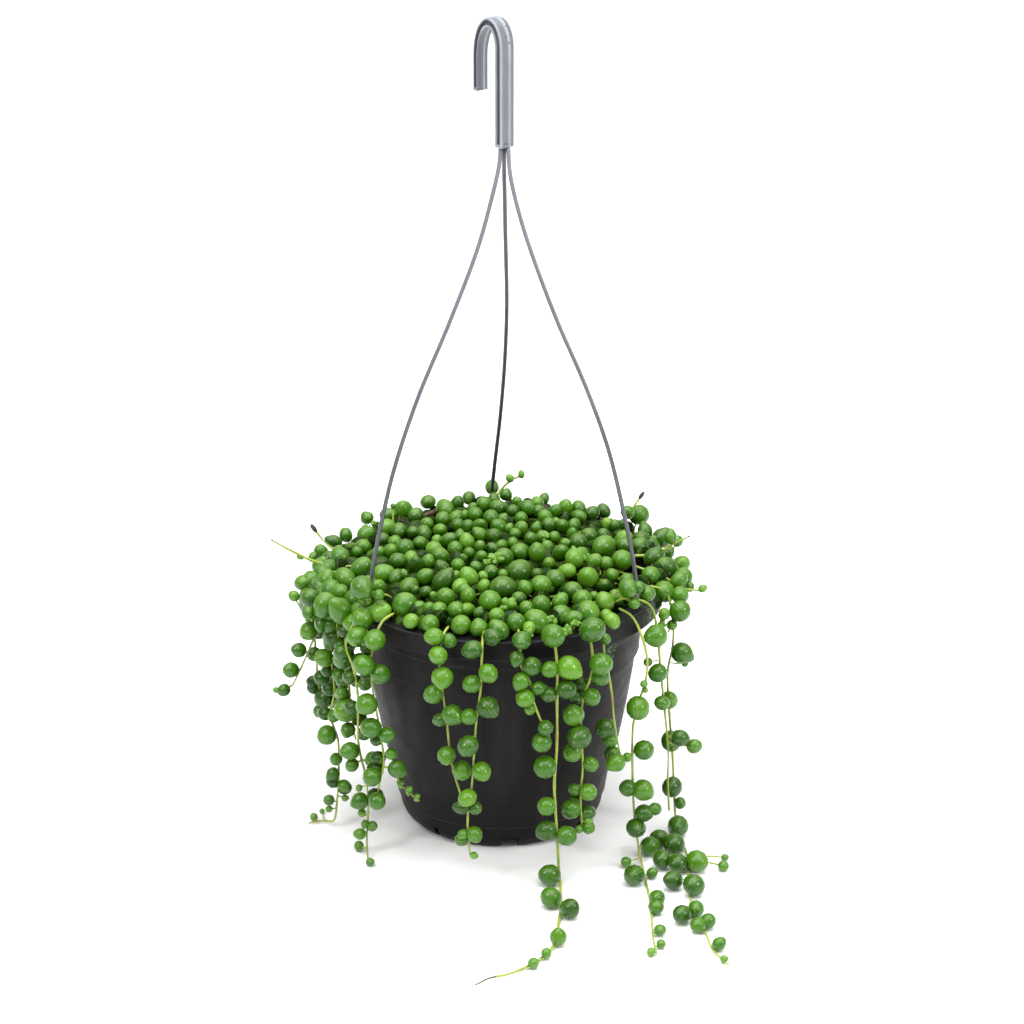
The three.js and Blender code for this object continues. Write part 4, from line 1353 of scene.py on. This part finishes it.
# Short shoots that hang over the rim at the left.
spill = {
    "angles": range(168, 217, 6),
    "radius": 0.65,
    "long": (8, 17),
    "sizes": (7.6, 10.2),
    "side": (-0.44, 0.44),  # from the shoot to a leaf, as shares of its size
    "ahead": (0.1, 0.4),
    "tint": (0.40, 0.15),
    "darkest": 0.1,
}

# Leaves that the picture shows on the crown, by their place in it: x, y, size across.
crownLeaves = [
    (367, 518, 14), (388, 515, 14), (416, 515, 15), (428, 502, 15), (445, 508, 17), (346, 535, 14),
    (334, 542, 14), (366, 535, 18), (383, 540, 14), (352, 549, 12), (363, 547, 17), (357, 552, 11),
    (340, 557, 19), (378, 553, 13), (391, 551, 14), (395, 542, 13), (405, 548, 17), (420, 543, 14),
    (399, 531, 17), (413, 532, 12), (424, 533, 14), (427, 524, 13), (443, 519, 15), (440, 530, 13),
    (440, 556, 18), (398, 561, 16), (416, 566, 16), (428, 562, 13), (383, 574, 20), (361, 568, 19),
    (345, 579, 19), (396, 577, 13), (404, 574, 8), (409, 587, 19), (415, 590, 9), (425, 577, 15),
    (443, 581, 19), (442, 568, 14), (426, 592, 12), (434, 596, 8), (405, 605, 24), (419, 607, 14),
    (429, 608, 12), (440, 610, 16), (362, 619, 22), (341, 611, 24), (357, 637, 19), (457, 504, 13),
    (469, 498, 13), (492, 487, 14), (472, 508, 9), (484, 504, 15), (494, 500, 12), (506, 495, 12),
    (498, 508, 16), (517, 501, 10), (513, 511, 12), (527, 508, 15), (537, 503, 13), (539, 511, 12),
    (544, 499, 10), (456, 517, 12), (464, 515, 9), (475, 515, 15), (491, 518, 16), (503, 519, 11),
    (521, 518, 12), (521, 528, 13), (458, 525, 13), (468, 526, 13), (480, 526, 14), (480, 535, 14),
    (494, 536, 15), (499, 527, 15), (449, 540, 14), (460, 536, 11), (467, 542, 14), (455, 549, 14),
    (469, 553, 11), (480, 547, 11), (482, 556, 11), (463, 558, 9), (458, 565, 14), (456, 576, 11),
    (476, 567, 12), (464, 590, 12), (468, 596, 15), (493, 549, 12), (504, 557, 17), (513, 543, 12),
    (502, 545, 11), (515, 534, 12), (509, 528, 9), (520, 552, 18), (537, 553, 16), (531, 539, 13),
    (542, 537, 12), (547, 546, 11), (536, 528, 11), (549, 525, 14), (545, 517, 13), (556, 522, 9),
    (561, 553, 16), (519, 572, 24), (491, 572, 14), (503, 574, 10), (503, 588, 22), (490, 601, 23),
    (446, 597, 19), (456, 610, 16), (467, 610, 15), (461, 625, 20), (479, 613, 12), (479, 628, 18),
    (497, 616, 16), (499, 630, 17), (519, 599, 14), (525, 588, 14), (516, 622, 17), (537, 622, 22),
    (541, 605, 19), (541, 585, 21), (555, 579, 19), (549, 563, 11), (537, 574, 11), (560, 601, 14),
    (561, 615, 21), (555, 511, 12), (565, 508, 14), (579, 508, 13), (579, 516, 12), (592, 513, 13),
    (604, 511, 12), (562, 526, 13), (574, 525, 12), (572, 534, 11), (589, 536, 15), (603, 534, 12),
    (615, 525, 11), (622, 525, 11), (578, 542, 18), (604, 546, 20), (623, 547, 17), (641, 539, 17),
    (639, 547, 18), (645, 531, 15), (554, 537, 11), (565, 543, 10), (594, 561, 14), (606, 563, 14),
    (622, 560, 19), (612, 575, 13), (588, 578, 21), (604, 585, 12), (573, 591, 18), (582, 600, 18),
    (594, 596, 9), (588, 612, 23), (616, 598, 15), (573, 618, 14), (654, 557, 17), (668, 553, 12),
    (662, 538, 19), (652, 541, 10), (677, 541, 11), (667, 568, 21), (681, 564, 15), (683, 577, 18),
    (690, 587, 8), (680, 595, 17), (672, 625, 11), (664, 614, 12), (313, 557, 9), (321, 552, 13),
    (323, 561, 10), (303, 583, 17), (294, 596, 11), (327, 580, 18), (310, 598, 18), (325, 605, 22),
    (308, 613, 11), (639, 515, 19),
]
# The young ones among them, a brighter green.
paleLeaves = [
    (437, 540, 10), (434, 549, 16), (411, 558, 14), (381, 612, 21), (411, 621, 14), (469, 577, 17),
    (483, 576, 10), (460, 586, 14), (484, 586, 13), (529, 628, 14), (607, 523, 11), (624, 539, 17),
    (567, 571, 15), (605, 602, 19), (606, 616, 14), (612, 621, 15),
]
# Leaves on shoots of their own, most before the hanger's feet: x, y, size across, depth in mm.
feetLeaves = [
    (362, 588, 26, -47), (628, 588, 21, -47), (639, 587, 13, -46), (648, 593, 17, -45), (379, 595, 12, -50),
    (634, 603, 13, -48), (393, 506, 6, 44),
]
# Pale young tufts: x, y, size across.
crownTufts = [
    (508, 606, 16), (497, 560, 15), (576, 557, 17), (587, 558, 9), (551, 621, 12), (567, 632, 12),
    (575, 624, 9), (487, 563, 8), (529, 634, 10), (661, 625, 9), (374, 524, 7), (545, 537, 9),
    (366, 527, 6),
]


def crownSpread(x, y):
    angle = math.degrees(math.atan2(y, x))
    wide = 1
    for centre, width, more in crown["spread"]:
        away = (angle - centre + 540) % 360 - 180
        wide += more * math.exp(-((away / width) ** 2))
    return wide


def crownShare(x, y):
    return math.hypot(x, y) / (crown["radius"] * crownSpread(x, y))


def crownLift(x, y):
    # height of the middles of the top leaves
    more, start, full = crown["raised"]
    rise = min(1, max(0, (y - start) / (full - start)))
    fall = crown["fall"] * crownShare(x, y) ** crown["power"]
    return crown["top"] - fall + more * rise * rise * (3 - 2 * rise)


def onCrown(px, py):
    # where the sight line through a point of the picture meets the crown, or passes it closest
    best, found = math.inf, None
    for depth in crown["depths"]:
        at = sightAt(px, py, depth)
        if crownShare(at.x, at.y) > crown["edge"]:
            continue
        over = at.z - crownLift(at.x, at.y)
        if over < best:
            best, found = over, at
        if over < 0:
            return at
    return found or sightAt(px, py, 0)


def inHollow(at, size):
    return any(math.hypot(at.x - x, at.y - y) < r + size * 0.3 for x, y, r in crown["hollows"])


def frontness(angle):
    # 1 at the front, falling to 0 at the sides
    return math.exp(-(((angle - 270) / fill["frontWide"]) ** 2))


def crownNormal(at):
    step = 2
    slopeX = (crownLift(at.x + step, at.y) - crownLift(at.x - step, at.y)) / (2 * step)
    slopeY = (crownLift(at.x, at.y + step) - crownLift(at.x, at.y - step)) / (2 * step)
    return Vector((-slopeX, -slopeY, 1)).normalized()


def toCamera(at):
    return (view["place"] / mm - at).normalized()


def placeCrown(draw):
    # the leaves that the picture shows
    leaves = []
    for index, (px, py, across) in enumerate(crownLeaves + paleLeaves):
        pale = index >= len(crownLeaves)
        tint = draw.uniform(*crown["paleTint"]) if pale else draw.gauss(*crown["tint"])
        at = onCrown(px, py)
        leaves.append({"at": at, "size": measured(across * crown["plump"], at), "high": py, "moved": 0.0,
                       "line": sightLine(px, py).normalized(), "tint": max(crown["darkest"], tint),
                       "bloom": draw.uniform(*crown["bloom"])})
    for _ in range(crown["partRounds"]):
        for i, a in enumerate(leaves):
            for b in leaves[i + 1:]:
                partLeaves(a, b)
    return leaves


def partLeaves(a, b):
    # of two leaves that run into each other, the one higher in the picture moves back along its sight line
    short = crown["part"] * (a["size"] + b["size"]) - (a["at"] - b["at"]).length
    rear = a if a["high"] < b["high"] else b
    move = min(short * 0.4, crown["partMost"] - rear["moved"])
    if move > 0:
        rear["moved"] += move
        rear["at"] = rear["at"] + rear["line"] * move


def fillCrown(leaves, draw):
    # more leaves wherever the crown has room: the sides, the back, and lower down between the others
    taken = [(leaf["at"], leaf["size"]) for leaf in leaves]
    seen = [(*inPicture(leaf["at"]), leaf["size"]) for leaf in leaves]
    more = []
    for k in range(fill["tries"]):
        low = k % 2 == 1
        rule = fill["low"] if low else fill["top"]
        share = math.sqrt(draw.random())
        angle = draw.uniform(0, 360)
        at = around(share * crown["radius"] * 1.02, angle, 0)
        wide = crownSpread(at.x, at.y)
        at.x *= wide
        at.y *= wide
        size = draw.uniform(*fill["sizes"])
        if share > 1.0 - rule["less"] * frontness(angle) or inHollow(at, size):
            continue
        at.z = crownLift(at.x, at.y) - draw.uniform(*rule["sink"])
        px, py, deep = inPicture(at)
        points = fill["apart"] * view["focal"] / deep
        if not low and any(math.hypot(px - x, py - y) < points * (size + big) for x, y, _, big in seen):
            continue
        if all((at - other).length > fill["apart"] * (size + big) for other, big in taken):
            taken.append((at, size))
            tint = draw.uniform(*rule["tint"])
            bloom = fill["lowFillBloomAndTopLight"] if low else draw.uniform(*fill["topFillBloomAndTopLight"])
            more.append({"at": at, "size": size, "tint": tint, "bloom": bloom})
    return more


def scattered(draw, spread):
    # a random way, each of its three numbers by the bell curve
    return Vector([draw.gauss(0, spread) for _ in range(3)])


def addCrownLeaf(bm, leaf, draw):
    at, size = leaf["at"], leaf["size"]
    out = crownNormal(at)
    tip = out * draw.uniform(0.1, 0.9) + scattered(draw, 0.6)
    youth = max(0.0, leaf["tint"] - 0.62) * 1.6 + max(0.0, 1 - size / 6) * 0.4
    addPearl(bm, at, size, tip.normalized(), draw, tint=leaf["tint"], youth=youth, bloom=leaf["bloom"],
             long=draw.uniform(*crown["longs"]))
    addStalk(bm, at - out * size * 0.95, at - out * size * stalk["seat"], 0.5)


def addCrownTuft(bm, px, py, across, draw):
    at = onCrown(px, py)
    toward, out = toCamera(at), crownNormal(at)
    addYoungCluster(bm, at + toward * 1.5, measured(across, at), (toward + out).normalized(), draw,
                    crown["clusterCount"])
    addStalk(bm, at - out * 5, at + toward, 0.45)


def addFootLeaf(bm, px, py, across, depth, draw):
    # a leaf on a thin shoot, which comes from further in at the front and from straight below at the back
    at = sightAt(px, py, depth)
    high = crown["feetRoot"]
    root = Vector((at.x * 0.86, at.y * 0.80, high)) if depth < 0 else Vector((at.x, at.y - 2, high))
    bend = root.lerp(at, 0.55) + up * 2
    addTube(bm, smoothLine([root, bend, at], 2), stem["branch"], stemSlot, taper=0.8)
    tip = (toCamera(at) + Vector((0.4, 0, -0.6))).normalized()
    addPearl(bm, at, measured(across, at), tip, draw, tint=draw.uniform(*crown["feetTint"]), youth=0.05,
             bloom=0.5)


def addSpill(bm, angle, draw):
    # one shoot, with leaves close along both sides
    long, over = draw.uniform(*spill["long"]), pot["rimTop"]
    turn = angle + draw.uniform(-1.5, 1.5)
    out = crownSpread(*around(1, turn, 0).xy) * crown["radius"] - 3
    route = [around(out - 10, turn, over + 4), around(out - 2, turn, over + 2.6)]
    route += [around(out + 1.6, turn, over - 0.4 * long), around(out + 2, turn + 1, over - long)]
    line = smoothLine(route, 2)
    addTube(bm, line, spill["radius"], stemSlot, taper=0.8, wobble=0.3, seed=angle)
    side, ahead = around(1, turn + 90, 0), around(1, turn, 0)
    for at in line[2::3]:
        size = draw.uniform(*spill["sizes"])
        away = side * draw.choice(spill["side"]) * size + ahead * draw.uniform(*spill["ahead"]) * size
        tip = away.normalized() + scattered(draw, 0.4)
        tint = max(spill["darkest"], draw.gauss(*spill["tint"]))
        growPearl(bm, at, away, settled(at + away, size), size, tip, draw, 0.5, tint=tint, bloom=0.5)


def makeCrown():
    draw = random.Random(7)
    leaves = placeCrown(draw)
    more = fillCrown(leaves, draw)
    print("crown leaves:", len(leaves), "placed,", len(more), "filled in")
    bm = plantMesh()
    for leaf in leaves + more:
        addCrownLeaf(bm, leaf, draw)
    for tuft in crownTufts:
        addCrownTuft(bm, *tuft, draw)
    for leaf in feetLeaves:
        addFootLeaf(bm, *leaf, draw)
    for angle in spill["angles"]:
        addSpill(bm, angle, draw)
    finishPiece(bm, "crown_leaves", plantLooks, ["crown"], 1)


# The leaves and stems beneath the crown's own, which close the gaps; the leaves are painted near black, as
# shade.
under = {
    "leaves": 330,
    "sizes": (7, 9.4),
    "reach": 0.93,  # of the crown's radius, and less toward the front
    "frontLess": 0.10,
    "sink": (7, 10),
    # painted shade: these leaves are dark
    "tint": (0.0, 0.1),
    "spreadFrom": 62,  # past this radius they follow the crown's spread
    "ring": 60,  # and past this one they keep to a least height, over the rim
    "ringHigh": 121.6,
    "stems": 26,
    "stemRing": (25, 66),
    "stemTurn": (6, 16),  # degrees from one place of a stem to the next
    "stemSink": (3.5, 8),
}

# Brown bits of old stem: half thickness, and picture places x, y, each at a depth in mm.
debris = [
    (1.5, [(422, 517, 45), (428, 514, 46), (436, 511, 48)]),
    (0.5, [(398, 519, 44), (403, 521, 44), (408, 524, 43)]),
    (1.2, [(544, 505, 54), (547, 509, 53), (550, 512, 52)]),
    (0.8, [(650, 570, -2), (653, 578, -4), (655, 588, -8)]),
]


def addUnderLeaf(bm, draw):
    angle = draw.uniform(0, 360)
    share = math.sqrt(draw.random()) * (under["reach"] - under["frontLess"] * frontness(angle))
    at = around(share * crown["radius"], angle, 0)
    if math.hypot(at.x, at.y) > under["spreadFrom"]:
        at *= crownSpread(at.x, at.y)
    if inHollow(at, 6):
        return
    at.z = crownLift(at.x, at.y) - draw.uniform(*under["sink"])
    if math.hypot(at.x, at.y) > under["ring"]:
        at.z = max(at.z, under["ringHigh"])
    tip = scattered(draw, 1).normalized()
    addPearl(bm, at, draw.uniform(*under["sizes"]), tip, draw, tint=draw.uniform(*under["tint"]), bloom=0.0)


def addUnderStem(bm, seed, draw):
    angle = draw.uniform(0, 360)
    points = []
    for n in range(4):
        radius = draw.uniform(*under["stemRing"])
        at = around(radius, angle + n * draw.uniform(*under["stemTurn"]), 0)
        at.z = crownLift(at.x, at.y) - draw.uniform(*under["stemSink"])
        points.append(at)
    addTube(bm, smoothLine(points, 4), stem["branch"], stemSlot, taper=0.7, wobble=0.3, seed=seed)


def makeCrownUnder():
    draw = random.Random(23)
    bm = plantMesh()
    for _ in range(under["leaves"]):
        addUnderLeaf(bm, draw)
    for k in range(under["stems"]):
        addUnderStem(bm, k, draw)
    for thick, route in debris:
        line = smoothLine([sightAt(*point) for point in route], 3)
        addTube(bm, line, thick, drySlot, taper=0.8, wobble=0.6, seed=len(route))
    finishPiece(bm, "crown_under", plantLooks, ["crown"], 1)


makeCrown()
makeCrownUnder()
print("crown is made")

studio = {
    "floor": 60,  # metres across, so that no view shows its edge
    "white": (0.93, 0.95),
    "world": 1.22,
    "low": (0.14, 0.142, 0.145, 1),  # the sky's light from below, and from this far up
    "high": (0.97, 0.965, 0.94, 1),
    "highAt": 0.9,
    "lamps": {  # place, aim, size, watts
        "left": ((-0.95, -0.85, 1.05), (0, 0, 0.12), 0.30, 6.5),
        "right": ((1.15, -0.75, 0.80), (0, 0, 0.12), 0.28, 7),
        "over": ((0, -0.25, 1.9), (0, 0, 0.1), 2.1, 52),
        "behind": ((0.1, 1.3, 1.35), (0, 0, 0.12), 1.4, 3),
    },
}


def makeFloor():
    # a wide plane at the height of the surface, with no body
    bm = bmesh.new()
    bmesh.ops.create_grid(bm, x_segments=1, y_segments=1, size=studio["floor"] / 2)
    mesh = bpy.data.meshes.new("floor")
    bm.to_mesh(mesh)
    bm.free()
    floor = bpy.data.objects.new("floor", mesh)
    bpy.context.scene.collection.objects.link(floor)
    f = Finish("paleFloor")
    f.set(Base_Color=f.clouds(3, *studio["white"], 2), Roughness=0.8, Specular_IOR_Level=0.2)
    mesh.materials.append(f.material)


def makeSky():
    world = bpy.data.worlds.new("studio")
    bpy.context.scene.world = world
    world.use_nodes = True
    tree = world.node_tree
    coords = tree.nodes.new("ShaderNodeTexCoord")
    apart = tree.nodes.new("ShaderNodeSeparateXYZ")
    fade = tree.nodes.new("ShaderNodeValToRGB")
    tree.links.new(coords.outputs["Generated"], apart.inputs[0])
    tree.links.new(apart.outputs[2], fade.inputs["Fac"])
    marks = fade.color_ramp.elements
    marks[0].color = studio["low"]
    marks[1].color = studio["high"]
    marks[1].position = studio["highAt"]
    sky = tree.nodes["Background"]
    tree.links.new(fade.outputs["Color"], sky.inputs["Color"])
    sky.inputs["Strength"].default_value = studio["world"]


def makeLamps():
    for name, (place, aim, size, watts) in studio["lamps"].items():
        data = bpy.data.lights.new(name, "AREA")
        data.size = size
        data.energy = watts
        lamp = bpy.data.objects.new(name, data)
        lamp.location = place
        lamp.rotation_euler = (Vector(place) - Vector(aim)).to_track_quat("Z", "Y").to_euler()
        bpy.context.scene.collection.objects.link(lamp)


makeFloor()
makeSky()
makeLamps()
bpy.context.scene.view_settings.view_transform = "Standard"
print("floor and light are set")
